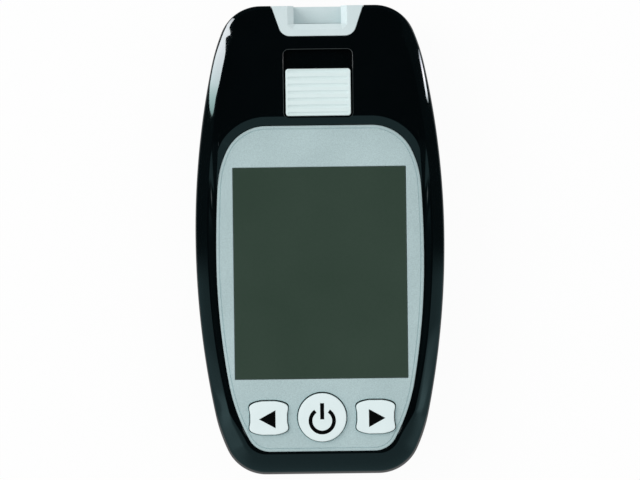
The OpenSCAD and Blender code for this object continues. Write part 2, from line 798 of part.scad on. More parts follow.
slide_screw_diameter = 1;
finger_half = 1.2;
finger_length = 1.3;
finger_y = connector_y + 0.1;
strip_end_y = finger_y + finger_length + 0.2;
module eject_carriage() color(cap_white) difference() {
    union() {
        block([-carriage_half, carriage_y, carriage_bottom],
              [carriage_half, carriage_y + carriage_length, carriage_top]);
        block([-finger_half, finger_y, strip_z + 0.2],
              [finger_half, finger_y + finger_length, carriage_bottom + 0.1]);
    }
    post([0, neck_y + neck_length / 2], slide_screw_diameter + 2 * slip,
         strip_z, carriage_top + over);
    post([0, neck_y + neck_length / 2], slide_screw_diameter + 1.2,
         strip_z, carriage_bottom + 0.5);
}

module slide_screw() color(metal) {
    at = [0, neck_y + neck_length / 2];
    post(at, slide_screw_diameter + 0.8, carriage_bottom, carriage_bottom + 0.5);
    post(at, slide_screw_diameter, carriage_bottom + 0.5, track_z + 0.4);
}

spring_radius = 0.5;
spring_wire = 0.22;
spring_turns = 6;
spring_sides = 4;
spring_steps = 9;
module eject_spring() color(metal) {
    from = carriage_y + carriage_length + 0.1 + spring_wire / 2;
    to = carriage_bay_end - 0.1 - spring_wire / 2;
    z = carriage_top - carriage_thickness / 2;
    rings = [for (i = [0:spring_turns * spring_steps])
        let (
            a = 360 * i / spring_steps,
            y = from + (to - from) * i / (spring_turns * spring_steps)
        )
        [for (k = [0:spring_sides - 1])
            let (b = 360 * k / spring_sides, r = spring_radius + spring_wire / 2 * cos(b))
            [r * cos(a), y + spring_wire / 2 * sin(b), z + r * sin(a)]]];
    for (s = [-1, 1]) translate([s * spring_x, 0, 0]) loft(rings);
}

contact_count = 5;
contact_pitch = 1.2;
contact_places = [for (i = [0:contact_count - 1]) (i - (contact_count - 1) / 2) * contact_pitch];
module strip_connector() color(chip_black) difference() {
    block([-connector_half, connector_y, board_top],
          [connector_half, port_y - connector_gap, carriage_bottom - 0.3]);
    block([-strip_width / 2, strip_end_y, strip_z],
          [strip_width / 2, port_y, strip_z + strip_slot]);
    block([-finger_half - 0.3, connector_y - over, strip_z],
          [finger_half + 0.3, strip_end_y + pad_travel, carriage_bottom]);
    for (x = contact_places)
        block([x - 0.35, connector_y - over, strip_z - 0.7],
              [x + 0.35, port_y - 1.4, strip_z + 0.01]);
}

module strip_contacts() color([0.85, 0.70, 0.35])
    for (x = contact_places) {
        block([x - 0.25, connector_y - 0.5, strip_z - 0.6],
              [x + 0.25, port_y - 1.8, strip_z - 0.25]);
        block([x - 0.25, connector_y - 0.5, board_top],
              [x + 0.25, connector_y - 0.15, strip_z - 0.3]);
    }

board_end_gap = 0.9;
module main_board() color(board_green) difference() {
    case_prism(board_inset, board_bottom, board_top);
    block([-half_width, port_y - board_end_gap, 0], [half_width, half_length, body_height]);
    for (p = case_screw_places) post(p, boss_diameter + 0.6, board_bottom - over, board_top + over);
    for (p = board_screw_places)
        post(p, board_screw_diameter + 2 * slip, board_bottom - over, board_top + over);
}

module chip(centre, size) color(chip_black)
    block([centre[0] - size[0] / 2, centre[1] - size[1] / 2, board_bottom - size[2]],
          [centre[0] + size[0] / 2, centre[1] + size[1] / 2, board_bottom]);

// Parts under the board are placed from its right side and from the top of the face plate
main_chip_size = [12, 12, 1.4];
main_chip_in = [32.6, 13];
main_chip_at = [half_width - main_chip_in[0], plate_top_y - main_chip_in[1]];
memory_chip_size = [5, 4, 1.1];
memory_chip_in = [17.6, 16];
memory_chip_at = [half_width - memory_chip_in[0], plate_top_y - memory_chip_in[1]];
module main_chip() chip(main_chip_at, main_chip_size);
module memory_chip() chip(memory_chip_at, memory_chip_size);

crystal_diameter = 3.2;
crystal_length = 7;
crystal_in = [19.6, 8];
crystal_at = [half_width - crystal_in[0], plate_top_y - crystal_in[1]];
module crystal() color(metal)
    translate([crystal_at[0], crystal_at[1], board_bottom - crystal_diameter / 2])
        rotate([0, 90, 0]) cylinder(d = crystal_diameter, h = crystal_length);

buzzer_diameter = 12;
buzzer_height = 2;
buzzer_hole = 1.6;
buzzer_in = 14.6;
buzzer_up = 4;
buzzer_at = [half_width - buzzer_in, plate_top_y + buzzer_up];
module buzzer() color(chip_black) difference() {
    post(buzzer_at, buzzer_diameter, board_bottom - buzzer_height, board_bottom);
    post(buzzer_at, buzzer_hole, board_bottom - buzzer_height - over, board_bottom - 1);
}

module coin_cell(y) color(metal)
    translate([0, y, cell_z]) rotate_extrude() polygon([
        [0, 0], [cell_diameter / 2 - 1.4, 0], [cell_diameter / 2 - 1.2, 0.3],
        [cell_diameter / 2, 0.5], [cell_diameter / 2, cell_thickness - 0.3],
        [cell_diameter / 2 - 0.3, cell_thickness], [0, cell_thickness]
    ]);
module lower_cell() coin_cell(lower_cell_y);
module upper_cell() coin_cell(upper_cell_y);

leaf_width = 4;
leaf_length = 12;
tail_width = 1.6;
tail_thickness = 0.4;
function leaf_tail_y(y) = y + leaf_length / 2 - 1;
module cell_leaf(y) color(metal) {
    block([-leaf_width / 2, y - leaf_length / 2, bay_roof - leaf_thickness],
          [leaf_width / 2, y + leaf_length / 2, bay_roof]);
    block([-tail_width / 2, leaf_tail_y(y) - tail_thickness, bay_roof - 0.1],
          [tail_width / 2, leaf_tail_y(y), board_bottom]);
}
module lower_cell_leaf() cell_leaf(lower_cell_y);
module upper_cell_leaf() cell_leaf(upper_cell_y);

// A side contact is a blade between the bay's side wall and the rim of the cell
blade_width = 5;
blade_thickness = 0.27;
blade_gap = 0.03;
blade_x = bay_half - cell_play + blade_gap;
module side_contact(y) color(metal)
    block([blade_x, y - blade_width / 2, cell_z + 0.4],
          [blade_x + blade_thickness, y + blade_width / 2, board_bottom]);
module lower_cell_side_contact() side_contact(lower_cell_y);
module upper_cell_side_contact() side_contact(upper_cell_y);

module contact_holes()
    for (y = [lower_cell_y, upper_cell_y]) {
        block([-tail_width / 2 - slip, leaf_tail_y(y) - tail_thickness - slip, bay_roof - over],
              [tail_width / 2 + slip, leaf_tail_y(y) + slip, bay_top + over]);
        block([blade_x - slip, y - blade_width / 2 - slip, bay_roof - over],
              [blade_x + blade_thickness + slip, y + blade_width / 2 + slip, bay_top + over]);
    }

grip_count = 6;
grip_pitch = 1.5;
grip_half = 5;
grip_width = 0.6;
grip_depth = 0.4;
grip_in = 2;
grip_y = lower_cell_y - grip_in;
module battery_cover() color(gloss_black) difference() {
    intersection() {
        back_skin();
        union() {
            block([-cover_half, -half_length - over, 0], [cover_half, cover_top_y, cover_thickness]);
            block([-cover_half - cover_tongue, -half_length - over, tongue_z],
                  [cover_half + cover_tongue, cover_top_y, cover_thickness]);
        }
    }
    for (i = [0:grip_count - 1])
        block([-grip_half, grip_y + i * grip_pitch, -over],
              [grip_half, grip_y + grip_width + i * grip_pitch, grip_depth]);
}

front_case();
rear_case();
face_plate();
display_lens();
display_gasket();
display_glass();
display_frame();
connector_strip();
power_button();
left_button();
right_button();
power_switch();
left_switch();
right_switch();
power_plunger();
left_plunger();
right_plunger();
strip_port();
eject_pad();
eject_carriage();
eject_spring();
slide_screw();
strip_connector();
strip_contacts();
main_board();
main_chip();
memory_chip();
crystal();
buzzer();
board_screws();
lower_cell();
upper_cell();
lower_cell_leaf();
upper_cell_leaf();
lower_cell_side_contact();
upper_cell_side_contact();
battery_cover();
case_screws();
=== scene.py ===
"""Dresses a handheld blood glucose meter: case, face, buttons, strip port, slide and inner parts.

Sizes are millimetres in the meter's own frame: +X to the right of the display, +Y to the strip
port, +Z up out of the display. Meshes are written in metres.
"""

from __future__ import annotations

import logging
import math
from dataclasses import dataclass, field
from enum import Enum
from typing import Callable, Sequence

import bmesh
import bpy
import numpy as np
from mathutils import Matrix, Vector
from mathutils.bvhtree import BVHTree
from mathutils.interpolate import poly_3d_calc


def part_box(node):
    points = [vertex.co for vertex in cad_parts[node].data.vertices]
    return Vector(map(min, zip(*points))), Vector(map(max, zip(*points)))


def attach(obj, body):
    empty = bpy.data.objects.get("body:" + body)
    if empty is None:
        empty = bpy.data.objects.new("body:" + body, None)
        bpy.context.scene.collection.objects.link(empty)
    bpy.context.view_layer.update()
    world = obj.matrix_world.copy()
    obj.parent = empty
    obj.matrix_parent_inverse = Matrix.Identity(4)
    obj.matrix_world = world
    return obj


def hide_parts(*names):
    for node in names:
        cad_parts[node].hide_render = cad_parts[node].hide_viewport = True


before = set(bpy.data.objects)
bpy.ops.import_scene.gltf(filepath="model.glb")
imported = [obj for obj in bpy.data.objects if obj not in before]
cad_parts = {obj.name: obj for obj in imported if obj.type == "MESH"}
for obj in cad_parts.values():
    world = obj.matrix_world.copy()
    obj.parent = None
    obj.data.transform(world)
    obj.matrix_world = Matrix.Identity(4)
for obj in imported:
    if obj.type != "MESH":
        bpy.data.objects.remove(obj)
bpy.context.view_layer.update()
LOG = logging.getLogger("meter")

MM = 0.001
SNUG = 0.08  # play round a piece that is let into another
PAST = 1.0  # how far a cutting solid reaches past what it cuts
FAR = 60.0  # a place beyond both ends of the meter
SHARP_ANGLE = 28.0  # edges that turn more than this many degrees stay sharp
EDGE_BULGE = 0.3  # where the middle of a broken edge lies, as a share of its width
BUTTON_GAP = 0.2  # play round each button
HOLE_SHIFT = 0.08  # how far the button holes lie towards the port
HOLE_STEPS = 96  # points round the power button's hole

Point = tuple[float, float]
Colour = tuple[float, float, float]


# ---------------------------------------------------------------------------------------------
# Mesh helpers
# ---------------------------------------------------------------------------------------------


def place(name: str, points: Sequence[Sequence[float]], faces: Sequence[Sequence[int]]) -> bpy.types.Object:
    """Makes an object at the origin from points in millimetres.

    Args:
        name: The object's name.
        points: Corner points in millimetres.
        faces: Corner indices of each face, anticlockwise from outside.

    Returns:
        The new object, linked to the scene.
    """
    mesh = bpy.data.meshes.new(name)
    mesh.from_pydata([tuple(c * MM for c in p) for p in points], [], [list(f) for f in faces])
    mesh.update()
    made = bpy.data.objects.new(name, mesh)
    bpy.context.scene.collection.objects.link(made)
    return made


def loft(name: str, rings: Sequence[np.ndarray], closed: bool = True) -> bpy.types.Object:
    """Joins rings of equal length, the lowest or outermost one first, into a skin.

    Args:
        name: The object's name.
        rings: Rings of points, anticlockwise from above, in millimetres.
        closed: Whether the first and the last ring are capped.

    Returns:
        The new object.
    """
    count = len(rings[0])
    faces: list[list[int]] = []
    for level in range(len(rings) - 1):
        for i in range(count):
            a = level * count + i
            b = level * count + (i + 1) % count
            faces.append([a, b, b + count, a + count])
    if closed:
        last = (len(rings) - 1) * count
        faces.append(list(range(count - 1, -1, -1)))
        faces.append(list(range(last, last + count)))
    return place(name, np.vstack(rings), faces)


def level_ring(outline: np.ndarray, height: float) -> np.ndarray:
    """Lifts a flat outline to one height."""
    return np.column_stack([outline, np.full(len(outline), height)])


def prism(name: str, outline: np.ndarray, low: float, high: float) -> bpy.types.Object:
    """Makes an upright solid over an outline, between two heights."""
    return loft(name, [level_ring(outline, low), level_ring(outline, high)])


def block(name: str, low: Sequence[float], high: Sequence[float]) -> bpy.types.Object:
    """Makes an upright block between two corners, in millimetres."""
    base = np.array([[low[0], low[1]], [high[0], low[1]], [high[0], high[1]], [low[0], high[1]]])
    return prism(name, base, low[2], high[2])


def circle(centre: Point, radius: float, steps: int = 48) -> np.ndarray:
    """Gives the points of a circle, anticlockwise."""
    turn = np.linspace(0, 2 * math.pi, steps, endpoint=False)
    return np.column_stack([centre[0] + radius * np.cos(turn), centre[1] + radius * np.sin(turn)])


def post(name: str, centre: Point, diameter: float, low: float, high: float) -> bpy.types.Object:
    """Makes an upright cylinder between two heights."""
    return prism(name, circle(centre, diameter / 2), low, high)


def stack(
    name: str, outline: Callable[[float], np.ndarray], section: Sequence[Point]
) -> bpy.types.Object:
    """Makes a solid whose outline changes with the height.

    Args:
        name: The object's name.
        outline: Gives the outline for an inset or a radius.
        section: The inset or radius at each height, and that height, from low to high.

    Returns:
        The new object.
    """
    return loft(name, [level_ring(outline(size), height) for size, height in section])


def broken_edge(edge: float, top: float, inset: float = 0.0) -> list[Point]:
    """Gives the section of a broken upper edge.

    Args:
        edge: Width and height of the edge.
        top: Height of the upper side.
        inset: How far the side lies inside at the foot of the edge.

    Returns:
        Insets and heights, from the side to the top.
    """
    near = EDGE_BULGE * edge
    return [(inset, top - edge), (inset + near, top - near), (inset + edge, top)]


def rod(name: str, length: float, radius: float, steps: int) -> bpy.types.Object:
    """Makes a rod along X with round ends, centred on the origin.

    Args:
        name: The object's name.
        length: Its whole length.
        radius: Its radius.
        steps: Points round it.

    Returns:
        The new object.
    """
    half = length / 2 - radius
    steepest, rounds = 80, 11
    rings = []
    for turn in np.linspace(-steepest, steepest, rounds):
        ring = circle((0, 0), radius * math.cos(math.radians(turn)), steps)
        x = half * np.sign(turn) + radius * math.sin(math.radians(turn))
        rings.append(np.column_stack([np.full(steps, x), ring[:, 0], ring[:, 1]]))
    return loft(name, rings)


def rounded_rectangle(
    low: Point, high: Point, radius: float, grow: float = 0.0, steps: int = 8
) -> np.ndarray:
    """Gives a rectangle with round corners.

    Args:
        low: Lower left corner.
        high: Upper right corner.
        radius: Corner radius.
        grow: How far the whole outline is pushed outwards.
        steps: Points along each corner.

    Returns:
        The outline, anticlockwise.
    """
    centres = [
        (high[0] - radius, high[1] - radius),
        (low[0] + radius, high[1] - radius),
        (low[0] + radius, low[1] + radius),
        (high[0] - radius, low[1] + radius),
    ]
    points = []
    for corner, (cx, cy) in enumerate(centres):
        for step in range(steps + 1):
            turn = math.radians(90 * corner + 90 * step / steps)
            points.append((cx + (radius + grow) * math.cos(turn), cy + (radius + grow) * math.sin(turn)))
    return np.array(points)


class Operation(Enum):
    """How one solid changes another."""

    CUT = "DIFFERENCE"
    JOIN = "UNION"
    KEEP = "INTERSECT"


def combine(target: bpy.types.Object, tool: bpy.types.Object, operation: Operation) -> None:
    """Changes target by tool with an exact boolean and deletes the tool.

    Args:
        target: The solid that stays.
        tool: The solid that is used up.
        operation: What the tool does to the target.
    """
    modifier = target.modifiers.new("combine", "BOOLEAN")
    modifier.operation = operation.value
    modifier.solver = "EXACT"
    modifier.object = tool
    bake(target)
    discard(tool)


def bake(target: bpy.types.Object) -> None:
    """Turns an object with modifiers into a plain mesh without them.

    Args:
        target: The object to change.
    """
    evaluated = target.evaluated_get(bpy.context.evaluated_depsgraph_get())
    mesh = bpy.data.meshes.new_from_object(evaluated)
    target.modifiers.clear()
    old = target.data
    target.data = mesh
    bpy.data.meshes.remove(old)


def discard(made: bpy.types.Object) -> None:
    """Deletes an object and its mesh.

    Args:
        made: The object to delete.
    """
    mesh = made.data
    bpy.data.objects.remove(made)
    bpy.data.meshes.remove(mesh)


def turn_outwards(made: bpy.types.Object) -> None:
    """Merges doubled points and turns all faces of closed shells outwards.

    Args:
        made: The object to change.
    """
    doubled = 0.0001 * MM
    work = bmesh.new()
    work.from_mesh(made.data)
    bmesh.ops.remove_doubles(work, verts=work.verts, dist=doubled)
    bmesh.ops.recalc_face_normals(work, faces=work.faces)
    work.to_mesh(made.data)
    work.free()


@dataclass
class Guide:
    """A smooth skin that lends its normals to the faces cut from it."""

    made: bpy.types.Object
    tree: BVHTree = field(init=False)

    def __post_init__(self) -> None:
        """Builds the search tree over the skin."""
        mesh = self.made.data
        corners = [v.co.copy() for v in mesh.vertices]
        self.tree = BVHTree.FromPolygons(corners, [tuple(p.vertices) for p in mesh.polygons])

    def normal_at(self, point: Vector, facing: Vector) -> Vector | None:
        """Gives the skin's smooth normal at a point that lies on it.

        Args:
            point: A point in metres.
            facing: The normal of the face that the point belongs to.

        Returns:
            The normal, or None where the face isn't part of the skin.
        """
        reach = 0.003 * MM
        agreement = 0.93
        found, normal, index, _ = self.tree.find_nearest(point, reach)
        if found is None or normal.dot(facing) < agreement:
            return None
        mesh = self.made.data
        corners = mesh.polygons[index].vertices
        shares = poly_3d_calc([mesh.vertices[c].co for c in corners], found)
        mixed = Vector((0, 0, 0))
        for share, corner in zip(shares, corners):
            mixed += share * mesh.vertices[corner].normal
        return mixed.normalized()


def smooth(target: bpy.types.Object, guides: Sequence[Guide] = (), angle: float = SHARP_ANGLE) -> None:
    """Shades an object smooth up to an angle, and like its guides where its faces lie on them.

    Args:
        target: The object to shade.
        guides: Skins whose normals are taken over.
        angle: Edges that turn more than this many degrees stay sharp.
    """
    mesh = target.data
    mesh.shade_smooth()
    mesh.set_sharp_from_angle(angle=math.radians(angle))
    if not guides:
        weigh = target.modifiers.new("weigh", "WEIGHTED_NORMAL")
        weigh.keep_sharp = True
        bake(target)
        return
    normals = [Vector((0, 0, 0))] * len(mesh.loops)
    for polygon in mesh.polygons:
        for loop in polygon.loop_indices:
            point = mesh.vertices[mesh.loops[loop].vertex_index].co
            for guide in guides:
                found = guide.normal_at(point, polygon.normal)
                if found is not None:
                    normals[loop] = found
                    break
    mesh.normals_split_custom_set([tuple(n) for n in normals])


# ---------------------------------------------------------------------------------------------
# Nodes and finishes
# ---------------------------------------------------------------------------------------------


def feed(
    tree: bpy.types.NodeTree, node: bpy.types.Node, given: dict[str | int, object]
) -> None:
    """Sets or links inputs of a node.

    Args:
        tree: The node's tree.
        node: The node.
        given: For each input, by name or number, its value or the socket linked to it.
    """
    for key, value in given.items():
        if isinstance(value, bpy.types.NodeSocket):
            tree.links.new(value, node.inputs[key])
        else:
            node.inputs[key].default_value = value


def add_node(
    tree: bpy.types.NodeTree, kind: str, given: dict[str | int, object] | None = None
) -> bpy.types.Node:
    """Adds a node to a tree.

    Args:
        tree: The tree.
        kind: The node's type.
        given: What its inputs get, as feed takes it.

    Returns:
        The node.
    """
    node = tree.nodes.new(kind)
    feed(tree, node, given or {})
    return node


def bare_material(name: str) -> bpy.types.Material:
    """Makes a material with an empty tree.

    Args:
        name: The material's name.

    Returns:
        The material.
    """
    made = bpy.data.materials.new(name)
    made.use_nodes = True
    made.node_tree.nodes.clear()
    return made


def linear(red: float, green: float, blue: float) -> Colour:
    """Turns a display colour from 0 to 255 into the linear colour that shaders take."""
    shares = [c / 255 for c in (red, green, blue)]
    return tuple(s / 12.92 if s <= 0.04045 else ((s + 0.055) / 1.055) ** 2.4 for s in shares)


@dataclass(frozen=True)
class Finish:
    """A moulded, painted or plated surface with fine grain and a slight drift of colour.

    Attributes:
        name: Name of the material.
        colour: Linear colour where the grain is low.
        second: Linear colour where the grain is high.
        roughness: Least roughness.
        rough_drift: How much the roughness rises from place to place.
        metallic: Share of metal.
        coat: Weight of the clear coat.
        coat_roughness: Roughness of the clear coat.
        grain: Size of the grain in millimetres.
        grain_height: Height of the grain in millimetres.
        drift: Size of the drift in millimetres.
        speckle: Share of the grain in the change of colour.
        specular: Strength of the plain reflection.
        contrast: Levels of the blend at which the two colours are reached.
        details: Detail of the grain's noise and of the drift's.
    """

    name: str
    colour: Colour
    second: Colour
    roughness: float
    rough_drift: float = 0.05
    metallic: float = 0.0
    coat: float = 0.0
    coat_roughness: float = 0.03
    grain: float = 0.4
    grain_height: float = 0.0
    drift: float = 12.0
    speckle: float = 0.5
    specular: float = 0.5
    contrast: Point = (0.35, 0.65)
    details: Point = (3.0, 2.0)

    def material(self) -> bpy.types.Material:
        """Gives the material of this finish, made once.

        Returns:
            The material.
        """
        made = bpy.data.materials.get(self.name)
        if made is not None:
            return made
        made = bpy.data.materials.new(self.name)
        made.use_nodes = True
        tree = made.node_tree
        where = add_node(tree, "ShaderNodeTexCoord").outputs["Object"]
        fine = self._noise(tree, where, self.grain, self.details[0])
        broad = self._noise(tree, where, self.drift, self.details[1])
        given = {
            "Metallic": self.metallic,
            "Coat Weight": self.coat,
            "Coat Roughness": self.coat_roughness,
            "Specular IOR Level": self.specular,
            "Base Color": self._colour(tree, fine, broad),
            "Roughness": self._roughness(tree, broad),
        }
        if self.grain_height > 0:
            given["Normal"] = self._bump(tree, fine)
        feed(tree, tree.nodes["Principled BSDF"], given)
        return made

    @staticmethod
    def _noise(
        tree: bpy.types.NodeTree, where: bpy.types.NodeSocket, size: float, detail: float
    ) -> bpy.types.NodeSocket:
        """Adds a noise from 0 to 1 whose features measure about size millimetres."""
        given = {"Vector": where, "Scale": 1 / (size * MM), "Detail": detail}
        return add_node(tree, "ShaderNodeTexNoise", given).outputs["Fac"]

    def _colour(
        self, tree: bpy.types.NodeTree, fine: bpy.types.NodeSocket, broad: bpy.types.NodeSocket
    ) -> bpy.types.NodeSocket:
        """Spreads the two colours over a blend of the two noises.

        Args:
            tree: The material's tree.
            fine: The grain.
            broad: The drift.

        Returns:
            The colour.
        """
        mix = add_node(tree, "ShaderNodeMix", {"Factor": self.speckle, "A": broad, "B": fine})
        ramp = add_node(tree, "ShaderNodeValToRGB", {"Fac": mix.outputs["Result"]})
        stops = zip(ramp.color_ramp.elements, self.contrast, (self.colour, self.second))
        for stop, level, colour in stops:
            stop.position = level
            stop.color = (*colour, 1)
        return ramp.outputs["Color"]

    def _roughness(
        self, tree: bpy.types.NodeTree, broad: bpy.types.NodeSocket
    ) -> bpy.types.NodeSocket:
        """Lets the roughness rise with the drift."""
        span = {"Value": broad, "To Min": self.roughness, "To Max": self.roughness + self.rough_drift}
        return add_node(tree, "ShaderNodeMapRange", span).outputs["Result"]

    def _bump(self, tree: bpy.types.NodeTree, fine: bpy.types.NodeSocket) -> bpy.types.NodeSocket:
        """Raises the grain."""
        given = {"Distance": self.grain_height * MM, "Height": fine}
        return add_node(tree, "ShaderNodeBump", given).outputs["Normal"]


GLOSS_BLACK = Finish(
    "gloss_black_shell", (0.0008, 0.0019, 0.0024), (0.0011, 0.0025, 0.0031), 0.07,
    coat=1.0, coat_roughness=0.02, grain=0.3, drift=16.0, speckle=0.3,
)
SILVER = Finish(
    "silver_lacquer", linear(179, 202, 204), linear(203, 226, 228), 0.38, rough_drift=0.08,
    metallic=0.15, grain=0.17, grain_height=0.007, drift=14.0, speckle=0.75,
)
DISPLAY = Finish(
    "display_window", linear(52, 70, 59), linear(56, 74, 63), 0.22, coat=1.0, coat_roughness=0.04,
    grain=0.6, drift=20.0, speckle=0.25,
)
CAP_WHITE = Finish(
    "white_cap", linear(228, 243, 244), linear(233, 247, 248), 0.34, grain=0.25,
    grain_height=0.003, drift=5.0, speckle=0.4,
)
PAD_WHITE = Finish(
    "white_pad", linear(222, 239, 239), linear(227, 243, 243), 0.34, grain=0.25,
    grain_height=0.003, drift=5.0, speckle=0.4,
)
PORT_WHITE = Finish(
    "white_insert", linear(210, 226, 228), linear(217, 232, 234), 0.36, grain=0.25,
    grain_height=0.003, drift=5.0, speckle=0.4,
)
PRINT_BLACK = Finish(
    "black_print", (0.0012, 0.0016, 0.002), (0.002, 0.0026, 0.003), 0.5, grain=0.15, drift=3.0,
    specular=0.12,
)
INNER_WHITE = Finish(
    "white_moulding", linear(205, 214, 214), linear(216, 224, 224), 0.45, grain=0.3,
    grain_height=0.004, drift=6.0,
)
PART_BLACK = Finish(
    "black_moulding", (0.012, 0.012, 0.013), (0.02, 0.02, 0.022), 0.5, grain=0.25,
    grain_height=0.006, drift=6.0,
)
GLASS_GREEN = Finish(
    "display_glass", linear(56, 72, 61), linear(62, 78, 66), 0.12, coat=1.0, grain=0.8, drift=18.0,
)
RUBBER = Finish(
    "seal_rubber", (0.018, 0.018, 0.019), (0.028, 0.028, 0.03), 0.75, grain=0.2,
    grain_height=0.01, drift=5.0,
)
BOARD = Finish(
    "board_lacquer", linear(20, 92, 58), linear(32, 116, 74), 0.32, coat=0.5, grain=0.9, drift=7.0,
    speckle=0.6,
)
GOLD = Finish(
    "gold_plating", linear(222, 184, 96), linear(236, 202, 120), 0.22, metallic=1.0, grain=0.15,
    drift=4.0,
)
STEEL = Finish(
    "cell_steel", linear(188, 190, 188), linear(206, 208, 206), 0.26, metallic=1.0, grain=0.12,
    grain_height=0.002, drift=6.0,
)
SPRING = Finish(
    "spring_steel", linear(170, 172, 172), linear(196, 198, 198), 0.3, metallic=1.0, grain=0.1,
    drift=3.0,
)


# ---------------------------------------------------------------------------------------------
# The meter's sizes and outlines
# ---------------------------------------------------------------------------------------------


@dataclass(frozen=True)
class Span:
    """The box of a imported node, in millimetres."""

    low: Vector
    high: Vector

    @classmethod
    def of(cls, node: str) -> "Span":
        """Reads the box of a node from the frame."""
        low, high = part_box(node)
        return cls(low / MM, high / MM)

    @property
    def middle(self) -> Vector:
        """The middle of the box."""
        return (self.low + self.high) / 2


@dataclass(frozen=True)
class Arcs:
    """How a quarter of an outline turns: side, shoulder and corner, in degrees and millimetres."""

    side_turn: float
    shoulder_radius: float
    shoulder_turn: float
    corner_radius: float


@dataclass(frozen=True)
class Outline:
    """A symmetric outline of tangent arcs with flat ends."""

    # Half the greatest width, Y of the widest place, and Y of both ends
    half: float
    widest: float
    top: float
    bottom: float
    # How the upper and the lower quarters turn
    upper: Arcs
    lower: Arcs
    # Steps along each part of a quarter, and along each end
    side_steps: int = 36
    shoulder_steps: int = 12
    corner_steps: int = 26
    end_steps: int = 24

    def _quarter(self, rise: float, arcs: Arcs, inset: float) -> np.ndarray:
        """Gives the points from (half, 0) round to the flat end at height rise.

        Args:
            rise: Distance from the widest place to the flat end.
            arcs: How the quarter turns.
            inset: How far the outline lies inside.

        Returns:
            The points in the first quadrant.
        """
        side = math.radians(arcs.side_turn)
        turned = side + math.radians(arcs.shoulder_turn)
        square = math.pi / 2
        shoulder = arcs.shoulder_radius
        corner = arcs.corner_radius
        below = shoulder * (math.sin(turned) - math.sin(side)) + corner * (1 - math.sin(turned))
        radius = (rise - below) / math.sin(side)
        c1 = np.array([self.half - radius, 0.0])
        c2 = c1 + (radius - shoulder) * np.array([math.cos(side), math.sin(side)])
        c3 = c2 + (shoulder - corner) * np.array([math.cos(turned), math.sin(turned)])
        parts = [
            self._arc(c1, radius - inset, 0, side, self.side_steps, False),
            self._arc(c2, shoulder - inset, side, turned, self.shoulder_steps, False),
            self._arc(c3, corner - inset, turned, square, self.corner_steps, True),
        ]
        return np.vstack(parts)

    @staticmethod
    def _arc(
        centre: np.ndarray, radius: float, start: float, end: float, steps: int, whole: bool
    ) -> np.ndarray:
        """Gives the points of an arc.

        Args:
            centre: Its centre.
            radius: Its radius.
            start: Where it starts, in radians.
            end: Where it ends, in radians.
            steps: How many steps it has.
            whole: Whether its end point is given too.

        Returns:
            The points.
        """
        turn = np.linspace(start, end, steps + 1)
        turn = turn if whole else turn[:-1]
        return centre + radius * np.column_stack([np.cos(turn), np.sin(turn)])

    def points(self, inset: float = 0.0) -> np.ndarray:
        """Gives the whole outline.

        Args:
            inset: How far it lies inside.

        Returns:
            The points, anticlockwise from the widest place on the right.
        """
        up = self._quarter(self.top - self.widest, self.upper, inset)
        down = self._quarter(self.widest - self.bottom, self.lower, inset)
        lift = np.array([0, self.widest])
        mirror = np.array([-1, 1])
        flip = np.array([1, -1])
        upper_end = self._flat(up[-1] + lift)
        lower_end = self._flat(down[-1] * flip + lift)[::-1]
        return np.vstack([
            up + lift, upper_end, (up * mirror)[::-1][:-1] + lift,
            down * -1 + lift, lower_end, (down * flip)[::-1][:-1] + lift,
        ])

    def _flat(self, corner: np.ndarray) -> np.ndarray:
        """Gives the points between a right corner and its mirror image, from right to left."""
        across = np.linspace(corner[0], -corner[0], self.end_steps + 1)[1:-1]
        return np.column_stack([across, np.full(len(across), corner[1])])

    def inward(self) -> np.ndarray:
        """Gives the unit direction into the outline at each point."""
        return self.points(1.0) - self.points(0.0)


def eased(share: np.ndarray | float) -> np.ndarray | float:
    """Rises smoothly from 0 to 1."""
    held = np.clip(share, 0, 1)
    return held * held * (3 - 2 * held)


